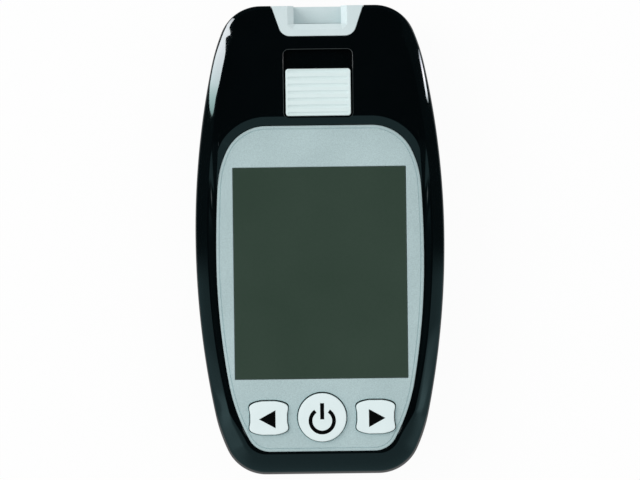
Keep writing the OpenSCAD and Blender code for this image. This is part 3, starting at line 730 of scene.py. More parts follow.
@dataclass(frozen=True)
class Form:
    """The meter's outlines and heights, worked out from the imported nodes."""

    case_box: Span = field(default_factory=lambda: Span.of("rear_case"))
    front_box: Span = field(default_factory=lambda: Span.of("front_case"))
    plate_box: Span = field(default_factory=lambda: Span.of("face_plate"))
    pad_box: Span = field(default_factory=lambda: Span.of("eject_pad"))
    # The outlines, and how far the plate's widest place lies below the case's
    widest: float = 0.6
    case_upper: Arcs = Arcs(12.06, 43.0, 9.91, 9.14)
    case_lower: Arcs = Arcs(11.67, 34.0, 13.28, 9.14)
    plate_waist: float = 3.8
    plate_upper: Arcs = Arcs(3.56, 19.5, 22.96, 9.44)
    plate_lower: Arcs = Arcs(9.87, 40.2, 18.5, 5.1)
    # The face: its height over the plate, its falls, and its climb up to the deck
    pad_proud: float = 0.5
    rim_rise: float = 0.15
    cross_fall: float = 0.12
    tail_fall: float = 0.02
    rise_start: float = 15.2
    rise_end: float = 2.4
    tail_start: float = 8.0
    # The sloping wall round the plate, with its least width
    recess_slope: float = 34.0
    recess_lip: float = 0.05
    # The side wall: how far it leans in, and the heights of its rings as shares
    wall_lean: float = 0.05
    wall_shares: Sequence[float] = (0.0, 0.5, 0.93)
    # The band round the face: its widths, slopes in degrees, and rounds as shares of the width
    band_width: float = 2.6
    band_lower_width: float = 4.5
    band_upper_width: float = 0.8
    steep_slope: float = 43.0
    shallow_slope: float = 21.0
    outer_round: float = 0.05
    inner_round: float = 0.1
    # Where the width changes, by how much the outline faces an end, and the change to the face
    upper_turn: Point = (0.3, 0.9)
    lower_turn: Point = (0.1, 0.42)
    blend: float = 0.15
    # The back's rounded edge, and the fine step at the seam
    back_edge: float = 5.5
    back_foot: float = 0.8
    back_power: float = 2.3
    seam_reveal: float = 0.12

    @property
    def seam(self) -> float:
        """Height of the seam between the casings."""
        return self.front_box.low.z

    @property
    def deck(self) -> float:
        """Height of the raised deck on the middle line."""
        return self.pad_box.high.z - self.pad_proud

    @property
    def plate_top(self) -> float:
        """Height of the face plate's upper side."""
        return self.plate_box.high.z

    @property
    def case(self) -> Outline:
        """The outline of both casings."""
        box = self.case_box
        return Outline(box.high.x, self.widest, box.high.y, box.low.y,
                       self.case_upper, self.case_lower)

    @property
    def plate(self) -> Outline:
        """The outline of the face plate."""
        box = self.plate_box
        return Outline(box.high.x, self.widest - self.plate_waist, box.high.y, box.low.y,
                       self.plate_upper, self.plate_lower)

    def face_height(self, at: np.ndarray) -> np.ndarray:
        """Gives the height of the front over points of the plane.

        Args:
            at: Points as rows of X and Y.

        Returns:
            The heights.
        """
        x, y = at[:, 0], at[:, 1]
        top, bottom = self.plate_box.high.y, self.plate_box.low.y
        rise = eased((y - (top - self.rise_start)) / (self.rise_start - self.rise_end))
        tail = eased((bottom + self.tail_start - y) / self.tail_start)
        crown = self.cross_fall * (x / self.case_box.high.x) ** 2
        low = self.plate_top + self.rim_rise
        return low + (self.deck - low) * rise - crown - self.tail_fall * tail

    def band_height(self, at: np.ndarray) -> np.ndarray:
        """Gives the height of the band's inner edge, which climbs evenly up to the deck.

        Args:
            at: Points as rows of X and Y.

        Returns:
            The heights.
        """
        low = self.plate_top + self.rim_rise
        start, end = self.case_box.low.y, self.plate_box.high.y
        climb = np.minimum(1, (at[:, 1] - start) / (end - start))
        crown = self.cross_fall * (at[:, 0] / self.case_box.high.x) ** 2
        return low + (self.deck - low) * climb - crown

    def band_section(self, steps: int = 5) -> list[Point]:
        """Gives the band's section: a round, a gentle bow and a round.

        Args:
            steps: Steps along each of the three.

        Returns:
            Distances inwards and heights, as shares of the band's width.
        """
        steep, shallow = math.radians(self.steep_slope), math.radians(self.shallow_slope)
        used = self.outer_round * (1 - math.sin(steep)) + self.inner_round * math.sin(shallow)
        bow = (1 - used) / (math.sin(steep) - math.sin(shallow))
        bends = [(self.outer_round, math.pi / 2, steep), (bow, steep, shallow),
                 (self.inner_round, shallow, 0.0)]
        section = [(0.0, 0.0)]
        for radius, start, end in bends:
            x, z = section[-1]
            for step in range(1, steps + 1):
                turn = start + (end - start) * step / steps
                section.append((x + radius * (math.sin(start) - math.sin(turn)),
                                z + radius * (math.cos(turn) - math.cos(start))))
        return section

    def band_widths(self) -> np.ndarray:
        """Gives the band's width at each point of the case's outline.

        Returns:
            The widths.
        """
        facing = -self.case.inward()[:, 1]
        up = facing > 0
        end = np.where(up, self.band_upper_width, self.band_lower_width)
        start, stop = np.where(up, np.array([self.upper_turn]).T, np.array([self.lower_turn]).T)
        share = eased((np.abs(facing) - start) / (stop - start))
        return self.band_width + (end - self.band_width) * share

    def skin_height(self, at: np.ndarray) -> np.ndarray:
        """Gives the height of the band, and inside it of the face, over points of the plane.

        Args:
            at: Points as rows of X and Y.

        Returns:
            The heights.
        """
        outer, widths = self.case.points(), self.band_widths()
        step = np.roll(outer, -1, axis=0) - outer
        apart = at[:, None] - outer
        share = np.clip((apart * step).sum(axis=2) / (step ** 2).sum(axis=1), 0, 1)
        inset = np.linalg.norm(apart - share[..., None] * step, axis=2)
        rows, near = np.arange(len(at)), inset.argmin(axis=1)
        width = widths[near] + (np.roll(widths, -1) - widths)[near] * share[rows, near]
        reached = (inset[rows, near] - self.wall_lean) / width
        section = np.array(self.band_section())
        below = section[-1, 1] - np.interp(reached, section[:, 0], section[:, 1])
        band = self.band_height(at) - width * below
        return band + (self.face_height(at) - band) * eased((reached - 1) / self.blend)

    def room(self) -> np.ndarray:
        """Gives the distance from each point of the case's outline inwards to the recess.

        Returns:
            The distances.
        """
        outer, inward = self.case.points()[:, None], self.case.inward()[:, None]
        edge = self.recess_edge()[:, :2]
        step, apart = np.roll(edge, -1, axis=0) - edge, edge - outer
        with np.errstate(divide="ignore", invalid="ignore"):
            crossing = inward[..., 0] * step[:, 1] - inward[..., 1] * step[:, 0]
            along = (apart[..., 0] * step[:, 1] - apart[..., 1] * step[:, 0]) / crossing
            share = (apart[..., 0] * inward[..., 1] - apart[..., 1] * inward[..., 0]) / crossing
        return np.where((share >= 0) & (share <= 1) & (along > 0), along, np.inf).min(axis=1)

    def outer_rings(self) -> list[np.ndarray]:
        """Gives the rings of the front's side wall and band.

        Returns:
            The rings, from the seam up to the face.
        """
        outer, inward, widths = self.case.points(), self.case.inward(), self.band_widths()
        across, rises = np.array(self.band_section()).T
        fit = np.minimum(1, (self.room() - self.recess_lip - self.wall_lean) / widths)
        rings = []
        for x in across:
            at = outer + inward * (self.wall_lean + widths * x * fit)[:, None]
            below = rises[-1] - np.interp(x * fit, across, rises)
            rings.append(np.column_stack([at, self.band_height(at) - widths * below]))
        foot = level_ring(outer, self.seam + self.seam_reveal)
        wall = [foot + (rings[0] - foot) * share for share in self.wall_shares]
        return wall + rings

    def recess_edge(self) -> np.ndarray:
        """Finds the ring where the wall round the face plate meets the face.

        Returns:
            The ring.
        """
        rounds = 40
        start = self.plate.points(-SNUG)
        outward = -self.plate.inward()
        reach = np.ones(len(start))
        for _ in range(rounds):
            rise = self.skin_height(start + outward * reach[:, None]) - self.plate_top
            reach = np.maximum(rise / math.tan(math.radians(self.recess_slope)), self.recess_lip)
        at = start + outward * reach[:, None]
        return np.column_stack([at, self.skin_height(at)])

    def face_rings(self, steps: int = 16) -> list[np.ndarray]:
        """Gives the rings of the face between the band and the recess.

        Args:
            steps: How many rings.

        Returns:
            The rings, the last one the recess's edge.
        """
        start, end = self.outer_rings()[-1], self.recess_edge()
        first, last = (ring[:, 2] - self.face_height(ring[:, :2]) for ring in (start, end))
        rings = []
        for step in range(1, steps + 1):
            share = step / steps
            at = (start + (end - start) * share)[:, :2]
            over = first + (last - first) * eased(share)
            rings.append(np.column_stack([at, self.face_height(at) + over]))
        return rings

    def back_rings(self, steps: int = 20) -> list[np.ndarray]:
        """Gives the rings of the rounded back.

        Args:
            steps: Steps round the edge of the back.

        Returns:
            The rings, from the flat back up to the seam.
        """
        rings = [level_ring(self.case.points(self.back_edge + self.back_foot), 0.0)]
        height = self.seam
        for step in range(steps, -1, -1):
            turn = math.pi / 2 * step / steps
            inset = self.back_edge * (1 - math.cos(turn) ** (2 / self.back_power))
            level = height * (1 - math.sin(turn) ** (2 / self.back_power))
            rings.append(level_ring(self.case.points(inset), min(level, height - self.seam_reveal)))
        return rings

    def back_solid(self, name: str) -> bpy.types.Object:
        """Makes the solid between the back and the seam."""
        seam = level_ring(self.case.points(self.seam_reveal), self.seam)
        return loft(name, self.back_rings() + [seam])


@dataclass(frozen=True)
class Waisted:
    """The outline of a side button: arched along the top and bottom, waisted at the sides."""

    node: str
    half_width: float = 4.5
    half_height: float = 3.65
    squareness: float = 7.0
    arch: float = 0.25
    waist: float = 0.14
    steps: int = 200

    def points(self, grow: float = 0.0, shift: float = 0.0) -> np.ndarray:
        """Gives the outline.

        Args:
            grow: How far it is pushed outwards.
            shift: How far it is moved along Y.

        Returns:
            The points, anticlockwise.
        """
        middle = Span.of(self.node).middle
        turn = 2 * math.pi * (np.arange(self.steps) + 0.5) / self.steps
        u = np.sign(np.cos(turn)) * np.abs(np.cos(turn)) ** (2 / self.squareness)
        v = np.sign(np.sin(turn)) * np.abs(np.sin(turn)) ** (2 / self.squareness)
        x = (self.half_width * (1 - self.waist * (1 - v * v)) + grow) * u
        y = (self.half_height * (1 - self.arch * u * u) + grow) * v
        return np.column_stack([middle.x + x, middle.y + y + shift])


LEFT_KEY = Waisted("left_button")
RIGHT_KEY = Waisted("right_button")


def button_holes() -> list[Callable[[float], np.ndarray]]:
    """Gives the outlines of the three button holes.

    Returns:
        For each hole a function that gives its points, pushed outwards by a length.
    """
    power = Span.of("power_button")
    centre = (0, power.middle.y + HOLE_SHIFT)
    radius = (power.high.y - power.low.y) / 2 + BUTTON_GAP
    return [
        lambda grow: circle(centre, radius + grow, HOLE_STEPS),
        lambda grow: LEFT_KEY.points(BUTTON_GAP + grow, HOLE_SHIFT),
        lambda grow: RIGHT_KEY.points(BUTTON_GAP + grow, HOLE_SHIFT),
    ]


@dataclass(frozen=True)
class PortPlan:
    """The outline of the strip port insert, which narrows inwards and has round inner corners."""

    end_half: float = 9.35
    inner_half: float = 7.1
    radius: float = 2.5
    corner_in: float = 1.28
    corner_steps: int = 17

    def points(self, end: float, grow: float = 0.0) -> np.ndarray:
        """Gives the outline.

        Args:
            end: Where the outline ends towards the port, on Y.
            grow: How far the sides and the inner end are pushed outwards.

        Returns:
            The outline, anticlockwise.
        """
        box = Span.of("strip_port")
        slant = math.atan((self.end_half - self.inner_half) / (box.high.y - box.low.y))
        centre = (self.inner_half - self.corner_in, box.low.y + self.radius)
        turns = np.linspace(-slant, -math.pi / 2, self.corner_steps)
        reach = self.radius + grow
        right = np.column_stack([centre[0] + reach * np.cos(turns),
                                 centre[1] + reach * np.sin(turns)])
        left = right * np.array([-1, 1])
        half = right[0, 0] + (end - right[0, 1]) * math.tan(slant)
        return np.vstack([[(-half, end)], left, right[::-1], [(half, end)]])


class Body(Enum):
    """The bodies of the frame that the pieces ride on."""

    HOUSING = "housing"
    POWER = "power_key"
    LEFT = "left_key"
    RIGHT = "right_key"
    EJECTOR = "ejector"
    COVER = "cover"


class Slot(Enum):
    """Names of the material slots."""

    CASE = "case_black"
    PLATE = "plate_silver"
    WINDOW = "window"
    CAP = "cap_white"
    BLACK = "part_black"
    STEEL = "spring_steel"


def dress(
    made: bpy.types.Object, finish: Finish, body: Body, slot: Slot, *nodes: str
) -> bpy.types.Object:
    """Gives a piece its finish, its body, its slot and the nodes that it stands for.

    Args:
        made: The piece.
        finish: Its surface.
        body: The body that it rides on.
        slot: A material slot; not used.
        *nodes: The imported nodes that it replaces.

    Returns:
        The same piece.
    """
    made.data.materials.clear()
    made.data.materials.append(finish.material())
    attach(made, body.value)
    if nodes:
        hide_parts(*nodes)
    LOG.info("%s: %d faces on %s", made.name, len(made.data.polygons), body.value)
    return made


# ---------------------------------------------------------------------------------------------
# Geometry Nodes for what repeats
# ---------------------------------------------------------------------------------------------


def unit_tree(
    name: str, inputs: dict[str, str]
) -> tuple[bpy.types.NodeTree, dict[str, bpy.types.NodeSocket]]:
    """Starts a tree that repeats the object Unit and gives it the material Finish.

    Args:
        name: The tree's name.
        inputs: Kinds of its other inputs, by name.

    Returns:
        The tree, and the sockets that give its inputs, by name.
    """
    tree = bpy.data.node_groups.new(name, "GeometryNodeTree")
    kinds = {"Geometry": "Geometry", **inputs, "Unit": "Object", "Finish": "Material"}
    for label, kind in kinds.items():
        tree.interface.new_socket(label, in_out="INPUT", socket_type=f"NodeSocket{kind}")
    tree.interface.new_socket("Geometry", in_out="OUTPUT", socket_type="NodeSocketGeometry")
    given = add_node(tree, "NodeGroupInput").outputs
    return tree, {label: given[label] for label in kinds}


def row_tree() -> bpy.types.NodeTree:
    """Builds a tree that repeats a unit object in a straight row.

    Returns:
        The node tree with the inputs Count, Start, Step, Unit and Finish.
    """
    tree, given = unit_tree("row_of_units", {"Count": "Int", "Start": "Vector", "Step": "Vector"})
    line = add_node(tree, "GeometryNodeMeshLine")
    line.mode = "OFFSET"
    feed(tree, line, {"Count": given["Count"], "Start Location": given["Start"],
                      "Offset": given["Step"]})
    link_units(tree, given, line.outputs["Mesh"])
    return tree


def place_tree() -> bpy.types.NodeTree:
    """Builds a tree that puts a unit object on every point of its own mesh.

    Returns:
        The node tree with the inputs Unit and Finish.
    """
    tree, given = unit_tree("units_at_places", {})
    link_units(tree, given, given["Geometry"])
    return tree


def link_units(
    tree: bpy.types.NodeTree,
    given: dict[str, bpy.types.NodeSocket],
    points: bpy.types.NodeSocket,
) -> None:
    """Adds the end of a tree: the unit on each point, realized and with its finish.

    Args:
        tree: The node tree.
        given: The sockets that give its inputs, with Unit and Finish.
        points: The socket that gives the points.
    """
    unit = add_node(tree, "GeometryNodeObjectInfo", {"Object": given["Unit"]})
    spread = add_node(tree, "GeometryNodeInstanceOnPoints",
                      {"Points": points, "Instance": unit.outputs["Geometry"]})
    real = add_node(tree, "GeometryNodeRealizeInstances",
                    {"Geometry": spread.outputs["Instances"]})
    paint = add_node(tree, "GeometryNodeSetMaterial",
                     {"Geometry": real.outputs["Geometry"], "Material": given["Finish"]})
    add_node(tree, "NodeGroupOutput", {"Geometry": paint.outputs["Geometry"]})


def repeat(
    holder: bpy.types.Object,
    tree: bpy.types.NodeTree,
    unit: bpy.types.Object,
    values: dict[str, object],
) -> bpy.types.Object:
    """Runs a tree on holder, turns the result into a plain mesh and deletes the unit.

    Args:
        holder: The object that carries the modifier and becomes the result.
        tree: One of the trees above.
        unit: The object that is repeated.
        values: The tree's other inputs by name.

    Returns:
        The holder, now a plain mesh.
    """
    modifier = holder.modifiers.new("repeat", "NODES")
    modifier.node_group = tree
    wanted = dict(values, Unit=unit)
    for item in tree.interface.items_tree:
        if item.in_out == "INPUT" and item.name in wanted:
            modifier[item.identifier] = wanted[item.name]
    bake(holder)
    discard(unit)
    return holder


def rod_row(
    unit: bpy.types.Object, start: Sequence[float], pitch: float, count: int, finish: Finish
) -> bpy.types.Object:
    """Makes the row of rods that is cut out of a piece as its grooves.

    Args:
        unit: One rod on the origin, which is used up.
        start: Place of the first one, in millimetres.
        pitch: Distance from one to the next along Y.
        count: How many.
        finish: Finish of the piece.

    Returns:
        The row as one object.
    """
    values = {
        "Count": count,
        "Start": tuple(c * MM for c in start),
        "Step": (0.0, pitch * MM, 0.0),
        "Finish": finish.material(),
    }
    return repeat(place("rods", [(0, 0, 0)], []), row_tree(), unit, values)


# ---------------------------------------------------------------------------------------------
# Sub-assemblies
# ---------------------------------------------------------------------------------------------


@dataclass(frozen=True)
class CaseScrew:
    """A case screw with a cross recess, and the stepped hole that it sits in.

    Attributes:
        hole: Radius and height of each step of the hole, from below the back upwards.
        head: Radius of each step of the head, and its height over the head's underside.
        shank: Radius of the shank.
        cross: Half length and half width of the cross recess.
        cross_depth: Depth of the cross recess.
    """

    hole: Sequence[Point] = (
        (2.2, -1.0), (2.2, 0.0), (1.9, 0.3), (1.9, 2.4), (1.0, 2.4), (1.0, 12.0),
    )
    head: Sequence[Point] = ((1.5, 0.0), (1.66, 0.12), (1.7, 0.3), (1.7, 1.3))
    shank: float = 0.9
    cross: Point = (1.0, 0.2)
    cross_depth: float = 0.7

    def counterbore(self, at: Point) -> bpy.types.Object:
        """Makes the solid of the stepped hole at a place."""
        return stack("counterbore", lambda radius: circle(at, radius), self.hole)

    def unit(self, low: float, high: float) -> bpy.types.Object:
        """Makes one screw over the origin.

        Args:
            low: Height of the head's lower side, which shows.
            high: Height of the shank's end.

        Returns:
            The screw.
        """
        section = [(radius, low + rise) for radius, rise in self.head]
        section += [(self.shank, section[-1][1]), (self.shank, high)]
        screw = stack("screw_unit", lambda radius: circle((0, 0), radius), section)
        for x, y in (self.cross, self.cross[::-1]):
            bar = block("recess", (-x, -y, low - PAST), (x, y, low + self.cross_depth))
            combine(screw, bar, Operation.CUT)
        smooth(screw)
        return screw


@dataclass
class Casing:
    """The two glossy shells, the battery cover and the case screws."""

    form: Form
    screw: CaseScrew = CaseScrew()
    # Places of the screws, inwards from the case's side and end
    upper_screw: Point = (11.1, 9.5)
    lower_screw: Point = (10.1, 6.4)
    # Walls and floors, and the stepped corners of the hollows
    wall: float = 1.8
    floor: float = 1.5
    front_step: float = 1.8
    front_step_in: float = 0.7
    rear_floor: float = 1.8
    rear_step: float = 3.4
    rear_step_in: float = 1.6
    overlap: float = 0.05
    # Ledge under the display lens, and height of the port opening over the seam
    lens_ledge: float = 1.0
    port_sill: float = 1.5
    # The pad's track: play round the pad, size, broken edge and height of the cutting solid
    track_side: float = 0.4
    track_near: float = 0.35
    track_corner: float = 1.1
    track_length: float = 14.55
    track_depth: float = 1.6
    edge_break: float = 0.12
    flare: float = 3.0
    # Least height of the wall round the face plate
    recess_least: float = 0.02
    # The battery bay
    cell_play: float = 0.35
    cell_headroom: float = 0.4
    bay_wall: float = 1.2
    bay_sink: float = 0.1
    bay_mouth: float = 0.5
    # The screw bosses: diameter, height of the foot and play under the seam
    boss: float = 4.4
    boss_foot: float = 1.0
    boss_drop: float = 0.01
    # The battery cover: play round it, its tongues and its grip grooves
    cover_gap: float = 0.15
    tongue: float = 1.0
    tongue_foot: float = 0.8
    grip_start: float = -1.7
    grip_length: float = 10.0
    grip_radius: float = 0.42
    grip_steps: int = 20
    grip_pitch: float = 1.5
    grip_count: int = 6
    guides: list[Guide] = field(default_factory=list)

    def build(self) -> None:
        """Makes the shells, the cover and the screws."""
        self.front()
        self.guides.append(Guide(loft("back_guide", self.form.back_rings(), closed=False)))
        self.rear()
        self.cover()
        for guide in self.guides:
            discard(guide.made)
        self.screws()

    def front(self) -> None:
        """Makes the front case with its recess, track, port opening and button holes."""
        form = self.form
        outer = form.outer_rings() + form.face_rings()
        self.guides.append(Guide(loft("front_guide", outer, closed=False)))
        lower = level_ring(form.case.points(form.seam_reveal), form.seam)
        foot = form.plate.points(-SNUG)
        seat = form.plate_box.low.z
        edge = outer[-1]
        slope_foot = level_ring(foot, form.plate_top)
        slope_foot[:, 2] = np.minimum(form.plate_top, edge[:, 2] - self.recess_least)
        rings = [lower] + outer + [(edge + slope_foot) / 2, slope_foot, level_ring(foot, seat)]
        shell = loft("front_shell", rings)
        for tool in self.front_tools(seat - self.floor):
            combine(shell, tool, Operation.CUT)
        smooth(shell, self.guides)
        dress(shell, GLOSS_BLACK, Body.HOUSING, Slot.CASE, "front_case")

    def front_tools(self, floor: float) -> list[bpy.types.Object]:
        """Gives the solids that are cut out of the front case.

        Args:
            floor: Height of the underside of the floor under the face plate.

        Returns:
            The cutting solids.
        """
        form = self.form
        step = floor - self.front_step
        under, above = form.seam - PAST, form.deck + self.flare
        inner = form.case.points(self.wall + self.front_step_in)
        lens = Span.of("display_lens")
        ledge = self.lens_ledge + SNUG
        power, *sides = button_holes()
        port = PortPlan().points(FAR, SNUG)
        tools = [
            prism("cavity", form.case.points(self.wall), under, step),
            prism("cavity_top", inner, step - self.overlap, floor),
            block("window", (lens.low.x + ledge, lens.low.y + ledge, floor - PAST),
                  (lens.high.x - ledge, lens.high.y - ledge, above)),
            prism("power_hole", power(0), floor - PAST, above),
            prism("port_hole", port, form.seam + self.port_sill, above),
            self.track(above),
        ]
        return tools + [prism("side_hole", side(0), floor - PAST, above) for side in sides]

    def track(self, above: float) -> bpy.types.Object:
        """Makes the solid of the ejector's track with its broken upper edge.

        Args:
            above: Height of the solid's upper side.

        Returns:
            The cutting solid.
        """
        pad, deck = self.form.pad_box, self.form.deck
        low = (pad.low.x - self.track_side, pad.low.y - self.track_near)
        high = (pad.high.x + self.track_side, low[1] + self.track_length)
        section = [(0.0, deck - self.track_depth), (0.0, deck - self.edge_break),
                   (self.edge_break + self.flare, above)]
        return stack("track", lambda grow: rounded_rectangle(low, high, self.track_corner, grow),
                     section)

    def rear(self) -> None:
        """Makes the rear case with the battery bay and the screw holes."""
        form = self.form
        shell = form.back_solid("rear_shell")
        combine(shell, prism("hollow", form.case.points(self.wall), self.rear_step,
                             form.seam + PAST), Operation.CUT)
        combine(shell, prism("hollow_low", form.case.points(self.wall + self.rear_step_in),
                             self.rear_floor, self.rear_step + self.overlap), Operation.CUT)
        bay, bay_room = self.bay()
        combine(shell, bay, Operation.JOIN)
        screws = self.screw_places()
        for at in screws:
            boss = post("boss", at, self.boss, self.boss_foot, form.seam - self.boss_drop)
            combine(shell, boss, Operation.JOIN)
        for tool in self.cover_rooms() + [bay_room] + [self.screw.counterbore(at) for at in screws]:
            combine(shell, tool, Operation.CUT)
        smooth(shell, self.guides)
        dress(shell, GLOSS_BLACK, Body.HOUSING, Slot.CASE, "rear_case")

    def bay(self) -> tuple[bpy.types.Object, bpy.types.Object]:
        """Makes the solids of the battery bay.

        Returns:
            The block that is added for its walls, and the one that is cut out for its room.
        """
        lower, upper, wall = Span.of("lower_cell"), Span.of("upper_cell"), self.bay_wall
        half, roof = lower.high.x + self.cell_play, lower.high.z + self.cell_headroom
        near, far = lower.low.y - self.cell_play, upper.high.y + self.cell_play
        foot = Span.of("battery_cover").high.z + self.cover_gap - self.bay_sink
        return (block("bay", (-half - wall, near - wall, foot), (half + wall, far + wall, roof + wall)),
                block("bay_room", (-half, near, self.bay_mouth), (half, far, roof)))

    def cover_rooms(self) -> list[bpy.types.Object]:
        """Makes the solids of the room for the battery cover and for its tongues.

        Returns:
            The cutting solids.
        """
        box, gap = Span.of("battery_cover"), self.cover_gap
        rooms = (("cover_room", self.tongue, -PAST), ("tongue_room", 0.0, self.tongue_foot - gap))
        return [block(name, (box.low.x + inset - gap, -FAR, low),
                      (box.high.x - inset + gap, box.high.y + gap, box.high.z + gap))
                for name, inset, low in rooms]

    def screw_places(self) -> list[Point]:
        """Gives the places of the four case screws.

        Returns:
            The places, the upper ones first.
        """
        box = self.form.case_box
        upper = (box.high.x - self.upper_screw[0], box.high.y - self.upper_screw[1])
        lower = (box.high.x - self.lower_screw[0], box.low.y + self.lower_screw[1])
        return [(side * at[0], at[1]) for at in (upper, lower) for side in (-1, 1)]

    def cover(self) -> None:
        """Makes the battery cover with its side tongues and grip grooves."""
        box = Span.of("battery_cover")
        solid = self.form.back_solid("cover_shell")
        keep = block("cover_keep", (box.low.x + self.tongue, -FAR, -PAST),
                     (box.high.x - self.tongue, box.high.y, box.high.z))
        wings = block("cover_wings", (box.low.x, -FAR, box.high.z / 2),
                      (box.high.x, box.high.y, box.high.z))
        combine(keep, wings, Operation.JOIN)
        combine(solid, keep, Operation.KEEP)
        unit = rod("grip", self.grip_length, self.grip_radius, self.grip_steps)
        start = (0.0, Span.of("lower_cell").middle.y + self.grip_start, 0.0)
        grips = rod_row(unit, start, self.grip_pitch, self.grip_count, GLOSS_BLACK)
        combine(solid, grips, Operation.CUT)
        smooth(solid, self.guides)
        dress(solid, GLOSS_BLACK, Body.COVER, Slot.CASE, "battery_cover")

    def screws(self) -> None:
        """Makes the four case screws, each with a cross recess."""
        box = Span.of("case_screws")
        unit = self.screw.unit(box.low.z, box.high.z)
        holder = place("case_screw_set", [(x, y, 0) for x, y in self.screw_places()], [])
        made = repeat(holder, place_tree(), unit, {"Finish": STEEL.material()})
        dress(made, STEEL, Body.HOUSING, Slot.STEEL, "case_screws")


@dataclass
class Face:
    """The silver plate and the display window in it."""

    form: Form
    # The plate's broken edge, and the fine line inside it with its sloping flanks
    edge: float = 0.22
    line_in: float = 0.55
    line_width: float = 0.26
    line_flank: float = 0.3
    line_depth: float = 0.16
    inner_ring: float = 2.0
    # The broken edges of the holes, and how far the solids that cut them stand over the plate
    hole_edge: float = 0.12
    hole_reach: float = 1.0
    # The display lens
    lens_edge: float = 0.1
    lens_corner: float = 0.15
    lens_steps: int = 3

    def build(self) -> None:
        """Makes the plate and the window."""
        self.plate()
        self.window()

    def plate(self) -> None:
        """Makes the face plate with its bright edge, fine border line, window and holes."""
        form = self.form
        low, top = form.plate_box.low.z, form.plate_box.high.z
        line, width, deep = self.line_in, self.line_width, top - self.line_depth
        section = [
            (0.0, low), *broken_edge(self.edge, top),
            (line, top), (line + self.line_flank * width, deep),
            (line + (1 - self.line_flank) * width, deep), (line + width, top),
            (line + self.inner_ring, top),
        ]
        made = stack("silver_plate", form.plate.points, section)
        for tool in self.tools(low - PAST, top):
            combine(made, tool, Operation.CUT)
        smooth(made)
        dress(made, SILVER, Body.HOUSING, Slot.PLATE, "face_plate")

    def tools(self, low: float, top: float) -> list[bpy.types.Object]:
        """Gives the cutting solids of the window and the button holes, with broken edges.

        Args:
            low: Height below the plate.
            top: Height of the plate's upper side.

        Returns:
            The cutting solids.
        """
        shapes = [lambda grow: self.lens(grow, SNUG), *button_holes()]
        section = [(0, low), (0, top - self.hole_edge),
                   (self.hole_edge + self.hole_reach, top + self.hole_reach)]
        return [stack("plate_hole", shape, section) for shape in shapes]

    def lens(self, grow: float, play: float = 0.0) -> np.ndarray:
        """Gives the outline of the display lens.

        Args:
            grow: How far it is pushed outwards.
            play: Play round the lens.

        Returns:
            The points, anticlockwise.
        """
        box = Span.of("display_lens")
        low = (box.low.x - play, box.low.y - play)
        high = (box.high.x + play, box.high.y + play)
        return rounded_rectangle(low, high, self.lens_corner, grow, self.lens_steps)

    def window(self) -> None:
        """Makes the flat display window with a finely broken edge."""
        box = Span.of("display_lens")
        section = [(0, box.low.z), (0, box.high.z - self.lens_edge), (self.lens_edge, box.high.z)]
        made = stack("window_lens", lambda inset: self.lens(-inset), section)
        smooth(made)
        dress(made, DISPLAY, Body.HOUSING, Slot.WINDOW, "display_lens")


@dataclass
class Cap:
    """What all three buttons share: a domed cap with a rounded edge, and lugs that hold it."""

    node: str
    body: Body
    dome: float = 0.08
    rounding: float = 0.24
    edge_steps: int = 8
    dome_rings: Sequence[float] = (0.85, 0.6, 0.3, 0.08)
    sharp_angle: float = 40.0
    print_proud: float = 0.02
    print_sunk: float = 0.04
    # The lugs: how far they stand out under the case, their root in the cap and half their width
    lug: float = 0.5
    lug_height: float = 0.85
    lug_root: float = 0.4
    lug_half: float = 1.0

    @property
    def box(self) -> Span:
        """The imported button's box."""
        return Span.of(self.node)

    def outline(self, grow: float) -> np.ndarray:
        """Gives the cap's outline, pushed outwards by grow."""
        raise NotImplementedError

    def centre(self) -> Point:
        """Gives the middle of the cap."""
        return (self.box.middle.x, self.box.middle.y)

    def reach(self) -> float:
        """Gives the distance over which the dome falls off."""
        raise NotImplementedError

    def height(self, at: np.ndarray) -> np.ndarray:
        """Gives the height of the domed top over points."""
        away = np.hypot(at[:, 0] - self.centre()[0], at[:, 1] - self.centre()[1])
        return self.box.high.z - self.dome * (away / self.reach()) ** 2

    def cap(self, name: str, lugs: Sequence[bpy.types.Object]) -> bpy.types.Object:
        """Makes the cap with its lugs.

        Args:
            name: The piece's name.
            lugs: The blocks that keep the button in the case.

        Returns:
            The finished cap.
        """
        r = self.rounding
        low = self.box.low.z
        rim = self.outline(-r)
        rings = [level_ring(self.outline(0), low)]
        for turn in np.radians(np.linspace(0, 90, self.edge_steps)):
            at = self.outline(-r * (1 - math.cos(turn)))
            rings.append(np.column_stack([at, self.height(at) - r * (1 - math.sin(turn))]))
        middle = np.array(self.centre())
        for share in self.dome_rings:
            at = middle + (rim - middle) * share
            rings.append(np.column_stack([at, self.height(at)]))
        made = loft(name, rings)
        for lug in lugs:
            combine(made, lug, Operation.JOIN)
        smooth(made, angle=self.sharp_angle)
        return dress(made, CAP_WHITE, self.body, Slot.CAP, self.node)

    def inlay(self, name: str, strips: Sequence[tuple[np.ndarray, np.ndarray]]) -> bpy.types.Object:
        """Makes a printed mark that follows the domed cap.

        Args:
            name: The piece's name.
            strips: Pairs of edges, left and right along the mark, of equal length.

        Returns:
            The finished mark.
        """
        proud, sunk = self.print_proud, self.print_sunk
        points: list[tuple[float, float, float]] = []
        faces: list[list[int]] = []
        for left, right in strips:
            count = len(left)
            first = len(points)
            for edge, lift in ((left, proud), (right, proud), (right, -sunk), (left, -sunk)):
                heights = self.height(edge) + lift
                points += [(x, y, z) for (x, y), z in zip(edge, heights)]
            corner = [first + k * count for k in range(4)]
            for i in range(count - 1):
                for k in range(4):
                    a, b = corner[k], corner[(k + 1) % 4]
                    faces.append([a + i, b + i, b + i + 1, a + i + 1])
            faces.append(corner[::-1])
            faces.append([c + count - 1 for c in corner])
        made = place(name, points, faces)
        turn_outwards(made)
        smooth(made)
        return dress(made, PRINT_BLACK, self.body, Slot.BLACK)


